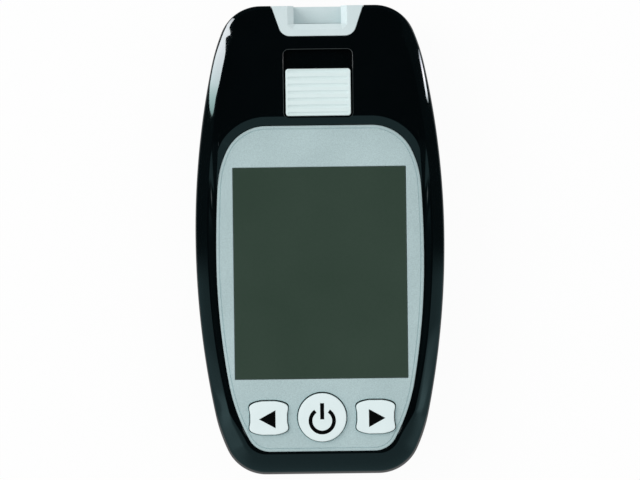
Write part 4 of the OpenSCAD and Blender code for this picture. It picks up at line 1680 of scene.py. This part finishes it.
@dataclass
class PowerButton(Cap):
    """The round button with the power symbol."""

    node: str = "power_button"
    body: Body = Body.POWER
    outline_steps: int = 120
    # The symbol: its ring's middle below the cap's, radius, stroke, opening and its bar
    symbol_low: float = 0.7
    symbol_radius: float = 2.5
    stroke: float = 0.8
    opening: float = 35.0  # half the opening, in degrees
    ring_steps: int = 61
    bar_half: float = 0.42
    bar_low: float = 0.4
    bar_high: float = 3.05
    bar_steps: int = 8

    def radius(self) -> float:
        """Gives the radius of the round cap."""
        return (self.box.high.y - self.box.low.y) / 2

    def outline(self, grow: float) -> np.ndarray:
        """Gives the round outline."""
        return circle(self.centre(), self.radius() + grow, self.outline_steps)

    def reach(self) -> float:
        """Gives the cap's radius."""
        return self.radius()

    def build(self) -> None:
        """Makes the cap and its symbol."""
        x, y = self.centre()
        low, half = self.box.low.z, self.lug_half
        root, tip = self.radius() - self.lug_root, self.radius() + BUTTON_GAP + self.lug
        lugs = [block("lug", (near, y - half, low), (far, y + half, low + self.lug_height))
                for near, far in ((-tip, -root), (root, tip))]
        self.cap("power_cap", lugs)
        self.inlay("power_symbol", [self.ring((x, y - self.symbol_low)), self.bar((x, y))])

    def ring(self, centre: Point) -> tuple[np.ndarray, np.ndarray]:
        """Gives the edges of the open ring of the symbol.

        Args:
            centre: Middle of the ring.

        Returns:
            The inner and the outer edge.
        """
        turn = np.radians(np.linspace(90 + self.opening, 450 - self.opening, self.ring_steps))
        away = np.column_stack([np.cos(turn), np.sin(turn)])
        inner = np.array(centre) + away * (self.symbol_radius - self.stroke / 2)
        outer = np.array(centre) + away * (self.symbol_radius + self.stroke / 2)
        return inner, outer

    def bar(self, centre: Point) -> tuple[np.ndarray, np.ndarray]:
        """Gives the edges of the upright bar of the symbol.

        Args:
            centre: Middle of the cap.

        Returns:
            The left and the right edge.
        """
        y = np.linspace(centre[1] - self.bar_low, centre[1] + self.bar_high, self.bar_steps)
        left, right = (np.column_stack([np.full(self.bar_steps, centre[0] + side), y])
                       for side in (-self.bar_half, self.bar_half))
        return left, right


@dataclass
class SideButton(Cap):
    """A waisted button with an arrow head that points away from the power button."""

    plan: Waisted = LEFT_KEY
    side: int = -1
    name: str = "left"
    lug_root: float = 0.6
    lug_half: float = 1.5
    # The arrow head: its base from the cap's middle, size, shift and how near the tip it ends
    arrow_base: float = 1.45
    arrow_length: float = 3.5
    arrow_half: float = 1.92
    arrow_low: float = 0.25
    arrow_tip: float = 0.999
    arrow_steps: int = 12

    def outline(self, grow: float) -> np.ndarray:
        """Gives the waisted outline."""
        return self.plan.points(grow)

    def reach(self) -> float:
        """Gives half the cap's diagonal."""
        return math.hypot(self.plan.half_width, self.plan.half_height)

    def build(self) -> None:
        """Makes the cap and its arrow head."""
        x, y = self.centre()
        low, half = self.box.low.z, self.lug_half
        root = self.plan.half_height - self.lug_root
        tip = self.plan.half_height + BUTTON_GAP + self.lug
        lugs = [block("lug", (x - half, y + near, low), (x + half, y + far, low + self.lug_height))
                for near, far in ((-tip, -root), (root, tip))]
        self.cap(f"{self.name}_cap", lugs)
        along = np.linspace(0, self.arrow_tip, self.arrow_steps)
        at = x - self.side * self.arrow_base + self.side * self.arrow_length * along
        spread = self.arrow_half * (1 - along)
        middle = y - self.arrow_low
        self.inlay(f"{self.name}_arrow", [(np.column_stack([at, middle - spread]),
                                           np.column_stack([at, middle + spread]))])


@dataclass
class Ejector:
    """The ribbed thumb pad that slides in the track."""

    form: Form
    # The pad: its thickness, corners, broken edges and draft
    thickness: float = 1.95
    corner: float = 0.65
    edge: float = 0.16
    foot_edge: float = 0.12
    draft_start: float = 0.5
    side_draft: float = 0.05
    # The finger grooves
    grooves: int = 7
    groove_steps: int = 32
    groove_margin: float = 0.55
    groove_inset: float = 0.42
    groove_radius: float = 0.4
    groove_depth: float = 0.25
    # The neck's sizes in the plane, its overlap with the pad, and the hole for the screw
    neck: Point = (4.4, 2.0)
    neck_overlap: float = 0.1
    hole: float = 1.2
    hole_depth: float = 1.75

    def build(self) -> None:
        """Makes the pad with its neck and grooves."""
        box = self.form.pad_box
        top = box.high.z
        bottom = top - self.thickness
        corners = (box.low.x, box.low.y), (box.high.x, box.high.y)
        section = [(self.foot_edge, bottom), (0.0, bottom + self.foot_edge),
                   (0.0, bottom + self.draft_start), *broken_edge(self.edge, top, self.side_draft)]
        pad = stack("ribbed_pad", lambda inset: rounded_rectangle(*corners, self.corner, -inset),
                    section)
        self.add_neck(pad, bottom)
        combine(pad, self.groove_row(top), Operation.CUT)
        smooth(pad)
        dress(pad, PAD_WHITE, Body.EJECTOR, Slot.CAP, "eject_pad")

    def add_neck(self, pad: bpy.types.Object, bottom: float) -> None:
        """Joins the neck that reaches the carriage under the track floor, over its screw.

        Args:
            pad: The pad.
            bottom: Height of the pad's lower side.
        """
        low = self.form.pad_box.low.z
        x, y, _ = Span.of("slide_screw").middle
        across, along = self.neck[0] / 2, self.neck[1] / 2
        neck = block("neck", (x - across, y - along, low),
                     (x + across, y + along, bottom + self.neck_overlap))
        combine(pad, neck, Operation.JOIN)
        hole = post("screw_room", (x, y), self.hole, low - PAST, low + self.hole_depth)
        combine(pad, hole, Operation.CUT)

    def groove_row(self, top: float) -> bpy.types.Object:
        """Makes the row of rods that is cut out of the pad as finger grooves.

        Args:
            top: Height of the pad's upper side.

        Returns:
            The cutting solid.
        """
        box = self.form.pad_box
        length = box.high.x - box.low.x - 2 * self.groove_inset
        pitch = (box.high.y - box.low.y - 2 * self.groove_margin) / (self.grooves - 1)
        unit = rod("groove", length, self.groove_radius, self.groove_steps)
        start = (box.middle.x, box.low.y + self.groove_margin,
                 top + self.groove_radius - self.groove_depth)
        return rod_row(unit, start, pitch, self.grooves, PAD_WHITE)


@dataclass
class Port:
    """The white strip port insert with its finger notch and slot."""

    form: Form
    # The insert's broken edge, and how far it ends inside the case's end
    edge: float = 0.26
    end_back: float = 0.1
    # The finger notch with its bevel, and the dark line at its foot
    notch_half: float = 5.05
    notch_length: float = 3.9
    bevel: float = 1.3
    bevel_reach: float = 1.2
    reach_past: float = 5.0
    line_width: float = 0.28
    line_depth: float = 0.5
    floor_drop: float = 0.1
    # The slot for the strip
    slot_half: float = 3.3
    slot_height: float = 0.8
    slot_rise: float = 0.25
    # How much of the notch's near corners is cut off, at the bevel's foot and at its top
    foot_cut: float = 0.15
    corner_cut: float = 1.2

    def build(self) -> None:
        """Makes the insert."""
        box = Span.of("strip_port")
        case_end = self.form.case_box.high.y
        top = self.form.deck
        end = case_end - self.end_back
        plan = PortPlan()
        section = [(0.0, box.low.z), *broken_edge(self.edge, top)]
        made = stack("port_insert", lambda inset: plan.points(end - inset, -inset), section)
        notch_y = case_end - self.notch_length
        far = case_end + self.reach_past
        slot_low = Span.of("strip_contacts").high.z + self.slot_rise
        floor = slot_low - self.floor_drop
        half, bevel = self.notch_half, self.bevel
        notch = block("notch", (-half, notch_y, floor), (half, far, top + self.reach_past))
        combine(made, notch, Operation.CUT)
        combine(made, block("notch_line", (-half, notch_y, floor - self.line_depth),
                            (half, notch_y + self.line_width, floor + PAST)), Operation.CUT)
        cuts = ((0.0, self.foot_cut), (bevel * self.bevel_reach, self.corner_cut))
        rings = [self.notch_ring(half + grow, notch_y - grow, far, cut, top - bevel + grow)
                 for grow, cut in cuts]
        combine(made, loft("notch_bevel", rings), Operation.CUT)
        slot = block("slot", (-self.slot_half, box.low.y - PAST, slot_low),
                     (self.slot_half, notch_y + PAST, slot_low + self.slot_height))
        combine(made, slot, Operation.CUT)
        smooth(made)
        dress(made, PORT_WHITE, Body.HOUSING, Slot.CAP, "strip_port")

    @staticmethod
    def notch_ring(half: float, near: float, far: float, cut: float, height: float) -> np.ndarray:
        """Gives a rectangle over the notch at one height, with its two near corners cut off."""
        right = np.array([[half - cut, near], [half, near + cut], [half, far]])
        return level_ring(np.vstack([right, right[::-1] * [-1, 1]]), height)


@dataclass
class InnerParts:
    """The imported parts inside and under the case, which keep their own meshes."""

    finishes: dict[str, Finish] = field(default_factory=lambda: {
        "display_gasket": RUBBER, "connector_strip": RUBBER, "display_glass": GLASS_GREEN,
        "display_frame": INNER_WHITE, "eject_carriage": INNER_WHITE, "power_plunger": INNER_WHITE,
        "left_plunger": INNER_WHITE, "right_plunger": INNER_WHITE, "power_switch": PART_BLACK,
        "left_switch": PART_BLACK, "right_switch": PART_BLACK, "strip_connector": PART_BLACK,
        "main_chip": PART_BLACK, "memory_chip": PART_BLACK, "buzzer": PART_BLACK,
        "main_board": BOARD, "strip_contacts": GOLD, "lower_cell": STEEL, "upper_cell": STEEL,
        "eject_spring": SPRING, "lower_cell_leaf": SPRING, "upper_cell_leaf": SPRING,
        "lower_cell_side_contact": SPRING, "upper_cell_side_contact": SPRING,
        "slide_screw": SPRING, "board_screws": SPRING, "crystal": SPRING,
    })

    def build(self) -> None:
        """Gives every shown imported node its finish."""
        for node, finish in self.finishes.items():
            part = bpy.data.objects.get(node)
            if part is None or part.hide_render:
                continue
            part.data.materials.clear()
            part.data.materials.append(finish.material())
            LOG.info("%s: finish %s", node, finish.name)


# ---------------------------------------------------------------------------------------------
# Studio
# ---------------------------------------------------------------------------------------------


@dataclass(frozen=True)
class Panel:
    """A soft upright lamp that looks at the meter. Angles are degrees, distances metres."""

    name: str
    azimuths: Point
    elevations: Point
    away: float
    radiance: float

    def build(self) -> None:
        """Makes the lamp, which doesn't show in the gloss."""
        left, right = (math.radians(a) for a in self.azimuths)
        a, half = (left + right) / 2, (right - left) / 2
        low, high = (self.away * math.tan(math.radians(e)) for e in self.elevations)
        outward = Vector((math.cos(a), math.sin(a), 0))
        lamp = bpy.data.lights.new(self.name, "AREA")
        lamp.shape = "RECTANGLE"
        lamp.size, lamp.size_y = 2 * self.away * math.tan(half), high - low
        lamp.energy = self.radiance * math.pi * lamp.size * lamp.size_y
        made = bpy.data.objects.new(self.name, lamp)
        bpy.context.scene.collection.objects.link(made)
        made.location = outward * self.away + Vector((0, 0, (low + high) / 2))
        made.rotation_euler = (-outward).to_track_quat("-Z", "Y").to_euler()
        made.visible_camera = False
        made.visible_glossy = False


@dataclass(frozen=True)
class Column:
    """One column of a card, an arc round a place on the meter.

    Attributes:
        around: X and Y of the place, in millimetres.
        azimuth: Direction of the column from there, in degrees.
        levels: Elevation in degrees and radiance of each point, from low to high.
        red: Share of red in the radiance.
        blue: Share of blue in the radiance.
    """

    around: Point
    azimuth: float
    levels: Sequence[Point]
    red: float = 0.6
    blue: float = 1.05


@dataclass(frozen=True)
class Card:
    """A graded card that shows only in the gloss, where it adds to what lies behind it.

    Attributes:
        name: Name of the card's object.
        away: Distance of the card from the places that its columns lie round, in millimetres.
        height: Height of these places in millimetres.
        columns: The card's columns in order. All have as many levels.
    """

    name: str
    away: float
    height: float
    columns: Sequence[Column]

    def build(self) -> None:
        """Makes the card."""
        points, colours, faces = [], [], []
        rows = len(self.columns[0].levels)
        for column in self.columns:
            a = math.radians(column.azimuth)
            for elevation, radiance in column.levels:
                e = math.radians(elevation)
                way = Vector((math.cos(a) * math.cos(e), math.sin(a) * math.cos(e), math.sin(e)))
                points.append(Vector((*column.around, self.height)) + way * self.away)
                colours.extend((radiance * column.red, radiance, radiance * column.blue, 1.0))
        for station in range(len(self.columns) - 1):
            for row in range(rows - 1):
                corner = station * rows + row
                faces.append([corner, corner + 1, corner + rows + 1, corner + rows])
        made = place(self.name, points, faces)
        glow = made.data.attributes.new("glow", "FLOAT_COLOR", "POINT")
        glow.data.foreach_set("color", colours)
        made.data.materials.append(self.material())
        made.visible_camera = False
        made.visible_diffuse = False
        made.visible_shadow = False

    def material(self) -> bpy.types.Material:
        """Makes the clear material that glows by the card's levels.

        Returns:
            The material.
        """
        material = bare_material(self.name)
        tree = material.node_tree
        shade = add_node(tree, "ShaderNodeAttribute")
        shade.attribute_name = "glow"
        light = add_node(tree, "ShaderNodeEmission", {"Color": shade.outputs["Color"]})
        clear = add_node(tree, "ShaderNodeBsdfTransparent")
        both = add_node(tree, "ShaderNodeAddShader", {0: light.outputs[0], 1: clear.outputs[0]})
        add_node(tree, "ShaderNodeOutputMaterial", {"Surface": both.outputs[0]})
        return material


# Each column stands round the place on the case's band in which it mirrors
LEFT_CARD = Card("left_card", 20.0, 19.4, (
    Column((-17.8, 47.4), 142, ((10, 6.0), (31, 6.0)), 0.94, 1.04),
    Column((-18.2, 46.8), 150, ((7, 7.0), (29, 7.0)), 0.94, 1.04),
    Column((-18.7, 46.0), 157, ((6, 8.6), (26, 8.6)), 0.94, 1.04),
    Column((-19.1, 45.1), 161, ((8, 9.1), (25, 9.1)), 0.94, 1.04),
    Column((-19.5, 44.1), 161.5, ((8, 9.2), (27, 9.2)), 0.94, 1.04),
    Column((-19.8, 43.0), 161, ((8, 9.3), (32, 9.3)), 0.94, 1.04),
    Column((-20.4, 40.8), 161, ((7, 9.1), (43, 9.1)), 0.93, 1.04),
    Column((-20.7, 39.3), 162, ((6, 8.7), (46, 8.7)), 0.92, 1.04),
    Column((-21.1, 38.1), 164, ((6, 8.5), (47, 8.5)), 0.9, 1.04),
    Column((-21.4, 36.8), 165.5, ((6, 8.3), (47, 8.3)), 0.88, 1.04),
    Column((-21.7, 35.2), 166.5, ((6, 7.9), (47, 7.9)), 0.86, 1.04),
    Column((-22.0, 33.6), 167.3, ((7, 7.5), (46, 7.5)), 0.82, 1.02),
    Column((-22.3, 32.2), 168, ((10, 6.5), (44, 6.5)), 0.76, 1.0),
    Column((-22.5, 30.8), 168.5, ((14, 5.8), (42, 5.8)), 0.7, 0.99),
    Column((-22.6, 29.6), 169, ((18, 5.3), (42, 5.3)), 0.67, 0.98),
    Column((-22.7, 28.3), 169.4, ((23, 4.5), (42, 4.5)), 0.66, 0.98),
    Column((-22.8, 27.4), 169.7, ((30, 3.8), (41, 3.8)), 0.66, 0.98),
    Column((-22.8, 26.7), 170, ((36, 1.5), (39, 1.5)), 0.66, 0.98),
))
RIGHT_CARD = Card("right_card", 20.0, 19.3, (
    Column((21.8, 40.6), 18, ((4, 1.5), (9, 1.5)), 0.9, 1.1),
    Column((21.9, 39.3), 17, ((6, 4.2), (13, 4.2)), 0.9, 1.1),
    Column((21.9, 38.0), 15.3, ((8, 8.0), (15, 8.0)), 0.95, 1.1),
    Column((22.1, 36.7), 14.1, ((8, 9.4), (16, 9.4)), 1.0, 1.1),
    Column((22.5, 35.4), 13.5, ((9, 12.0), (17, 12.0)), 1.0, 1.05),
    Column((22.7, 34.1), 12.9, ((10, 12.0), (18, 12.0)), 1.0, 1.05),
    Column((22.9, 32.8), 12.3, ((11, 10.3), (19.5, 10.3)), 0.95, 1.05),
    Column((23.1, 31.6), 11.8, ((12, 10.3), (20, 10.3)), 0.95, 1.05),
    Column((23.2, 30.3), 11.4, ((13, 7.0), (21.5, 7.0)), 0.9, 1.05),
    Column((23.4, 29.0), 10.9, ((14, 1.2), (19, 1.2)), 0.8, 1.05),
))
LOWER_LEFT = (-20.0, -39.0)
LOWER_LEFT_CARD = Card("lower_left_card", 60.0, 18.5, (
    Column(LOWER_LEFT, 170, ((8, 0), (14, 0), (30, 0), (42, 0), (50, 0))),
    Column(LOWER_LEFT, 178, ((8, 0), (14, 0.07), (30, 0.08), (42, 0.08), (50, 0))),
    Column(LOWER_LEFT, 186, ((8, 0), (14, 0.08), (30, 0.1), (42, 0.13), (49, 0))),
    Column(LOWER_LEFT, 191, ((8, 0.02), (22, 0.1), (31, 0.36), (44, 0.42), (49, 0))),
    Column(LOWER_LEFT, 197, ((8, 0.04), (18, 0.16), (26, 0.4), (44, 0.45), (49, 0))),
    Column(LOWER_LEFT, 203, ((6, 0.04), (15, 0.2), (23, 0.42), (44, 0.46), (49, 0))),
    Column(LOWER_LEFT, 209, ((4, 0.06), (12, 0.26), (20, 0.38), (40, 0.44), (47, 0))),
    Column(LOWER_LEFT, 214, ((4, 0.05), (10, 0.18), (22, 0.26), (35, 0.32), (40, 0))),
    Column(LOWER_LEFT, 221, ((4, 0.05), (12, 0.13), (24, 0.15), (34, 0.17), (38, 0))),
    Column(LOWER_LEFT, 230, ((4, 0.04), (12, 0.1), (24, 0.13), (32, 0.13), (37, 0))),
    Column(LOWER_LEFT, 240, ((4, 0.03), (10, 0.06), (18, 0.05), (28, 0.05), (36, 0))),
    Column(LOWER_LEFT, 252, ((4, 0), (10, 0), (18, 0), (28, 0), (36, 0))),
))
LOWER_RIGHT = (21.0, -35.0)
LOWER_RIGHT_CARD = Card("lower_right_card", 60.0, 18.8, (
    Column(LOWER_RIGHT, 370, ((6, 0), (14, 0), (26, 0), (40, 0), (50, 0))),
    Column(LOWER_RIGHT, 364, ((6, 0.05), (14, 0.1), (26, 0.18), (40, 0.18), (50, 0))),
    Column(LOWER_RIGHT, 357, ((6, 0), (12, 0.06), (24, 0.18), (38, 0.28), (48, 0))),
    Column(LOWER_RIGHT, 351, ((6, 0), (16, 0.1), (26, 0.3), (38, 0.34), (46, 0))),
    Column(LOWER_RIGHT, 345, ((8, 0.04), (17, 0.12), (24, 0.46), (35, 0.5), (43, 0))),
    Column(LOWER_RIGHT, 339, ((8, 0.06), (20, 0.12), (27, 0.42), (36, 0.46), (42, 0))),
    Column(LOWER_RIGHT, 333, ((6, 0.06), (15, 0.06), (25, 0.22), (36, 0.26), (43, 0))),
    Column(LOWER_RIGHT, 327, ((4, 0.08), (12, 0.2), (22, 0.2), (30, 0.14), (38, 0))),
    Column(LOWER_RIGHT, 320, ((4, 0.03), (10, 0.07), (18, 0.07), (27, 0.03), (36, 0))),
    Column(LOWER_RIGHT, 310, ((4, 0), (10, 0), (18, 0), (27, 0), (36, 0))),
))


@dataclass
class Studio:
    """The pale floor, the surroundings, the lamps and the camera."""

    # The plain dome's strength, and the mirrored sky: levels by height, their tint, and how
    # it fades beyond one edge, except close to the horizon
    dome: float = 0.95
    sky: Sequence[Point] = (
        (0.0, 1.0), (0.035, 1.0), (0.075, 0.36), (0.13, 0.27), (0.3, 0.235),
        (0.5, 0.218), (0.78, 0.21), (0.88, 0.04), (1.0, 0.012),
    )
    tint: Colour = (0.5, 0.93, 1.0)
    far_share: float = 0.08
    far_edge: Point = (-0.08, -0.03)
    low_edge: Point = (0.05, 0.11)
    # The floor: colour, glow where it is seen, half its size and its play under the meter
    floor_colour: float = 0.86
    floor_glow: float = 0.95
    floor_half: float = 3000.0
    floor_drop: float = 0.05
    # The camera, and the width of its picture at a height below the meter's top
    lens: float = 250.0
    sensor: float = 36.0
    clip: Point = (0.01, 20.0)
    picture_width: float = 136.77
    picture_below: float = 4.0
    turn: float = -0.72
    lamps: Sequence[Panel | Card] = (
        Panel("key", (130.0, 171.0), (30, 62), 0.7, 3.2),
        LEFT_CARD, RIGHT_CARD, LOWER_LEFT_CARD, LOWER_RIGHT_CARD,
    )

    def build(self) -> None:
        """Sets up everything round the meter."""
        self.world()
        self.floor()
        for lamp in self.lamps:
            lamp.build()
        self.camera()
        bpy.context.scene.view_settings.view_transform = "Standard"

    @staticmethod
    def seen(tree: bpy.types.NodeTree) -> bpy.types.NodeSocket:
        """Adds the share that is 1 for rays that show a surface: camera, glossy, transmission.

        Args:
            tree: The tree of the world or of a material.

        Returns:
            The share.
        """
        path = add_node(tree, "ShaderNodeLightPath")
        total = path.outputs["Is Camera Ray"]
        for name in ("Is Glossy Ray", "Is Transmission Ray"):
            larger = add_node(tree, "ShaderNodeMath", {0: total, 1: path.outputs[name]})
            larger.operation = "MAXIMUM"
            total = larger.outputs[0]
        return total

    def world(self) -> None:
        """Makes a dome for the light, and a graded room for what mirrors in the gloss."""
        world = bpy.data.worlds.new("studio")
        bpy.context.scene.world = world
        world.use_nodes = True
        tree = world.node_tree
        tree.nodes.clear()
        where = add_node(tree, "ShaderNodeTexCoord").outputs["Generated"]
        split = add_node(tree, "ShaderNodeSeparateXYZ", {0: where})
        ramp = add_node(tree, "ShaderNodeValToRGB", {"Fac": split.outputs["Z"]})
        stops = ramp.color_ramp.elements
        for index, (height, level) in enumerate(self.sky):
            stop = stops[index] if index < 2 else stops.new(height)
            stop.position = height
            tint = (1, 1, 1) if level >= 1 else self.tint
            stop.color = (*(level * t for t in tint), 1)
        fade = add_node(tree, "ShaderNodeMapRange", {
            "Value": split.outputs["Y"], "From Min": self.far_edge[0],
            "From Max": self.far_edge[1], "To Min": 1.0, "To Max": self.far_share,
        })
        fade.interpolation_type = "SMOOTHSTEP"
        low = add_node(tree, "ShaderNodeMapRange", {
            "Value": split.outputs["Z"], "From Min": self.low_edge[0],
            "From Max": self.low_edge[1],
        })
        dim = add_node(tree, "ShaderNodeMix", {
            "Factor": low.outputs["Result"], "A": 1.0, "B": fade.outputs["Result"],
        })
        room = add_node(tree, "ShaderNodeBackground", {
            "Color": ramp.outputs["Color"], "Strength": dim.outputs["Result"],
        })
        dome = add_node(tree, "ShaderNodeBackground", {"Strength": self.dome})
        mix = add_node(tree, "ShaderNodeMixShader", {
            "Fac": self.seen(tree), 1: dome.outputs[0], 2: room.outputs[0],
        })
        add_node(tree, "ShaderNodeOutputWorld", {"Surface": mix.outputs[0]})

    def floor(self) -> None:
        """Makes the white floor, which keeps the meter's soft shadow."""
        half = self.floor_half
        base = np.array([[-half, -half], [half, -half], [half, half], [-half, half]])
        made = place("floor", level_ring(base, -self.floor_drop), [[0, 1, 2, 3]])
        material = bare_material("floor")
        tree = material.node_tree
        colour = (*[self.floor_colour] * 3, 1)
        matt = add_node(tree, "ShaderNodeBsdfDiffuse", {"Color": colour})
        glow = add_node(tree, "ShaderNodeEmission")
        share = add_node(tree, "ShaderNodeMath", {0: self.seen(tree), 1: self.floor_glow})
        share.operation = "MULTIPLY"
        mix = add_node(tree, "ShaderNodeMixShader", {
            "Fac": share.outputs[0], 1: matt.outputs[0], 2: glow.outputs[0],
        })
        add_node(tree, "ShaderNodeOutputMaterial", {"Surface": mix.outputs[0]})
        made.data.materials.append(material)

    def camera(self) -> None:
        """Makes the camera, straight above the meter."""
        data = bpy.data.cameras.new("camera")
        data.lens = self.lens
        data.sensor_width = self.sensor
        data.clip_start, data.clip_end = self.clip
        made = bpy.data.objects.new("camera", data)
        bpy.context.scene.collection.objects.link(made)
        level = Span.of("front_case").high.z - self.picture_below
        height = self.picture_width * self.lens / self.sensor + level
        made.location = (0, 0, height * MM)
        made.rotation_euler = (0, 0, math.radians(self.turn))
        bpy.context.scene.camera = made


def main() -> None:
    """Builds and dresses the whole meter and its studio."""
    logging.basicConfig(level=logging.INFO, format="%(message)s")
    form = Form()
    Casing(form).build()
    Face(form).build()
    PowerButton().build()
    SideButton("left_button", Body.LEFT).build()
    SideButton("right_button", Body.RIGHT, plan=RIGHT_KEY, side=1, name="right").build()
    Ejector(form).build()
    Port(form).build()
    InnerParts().build()
    Studio().build()


if __name__ == "__main__":
    main()
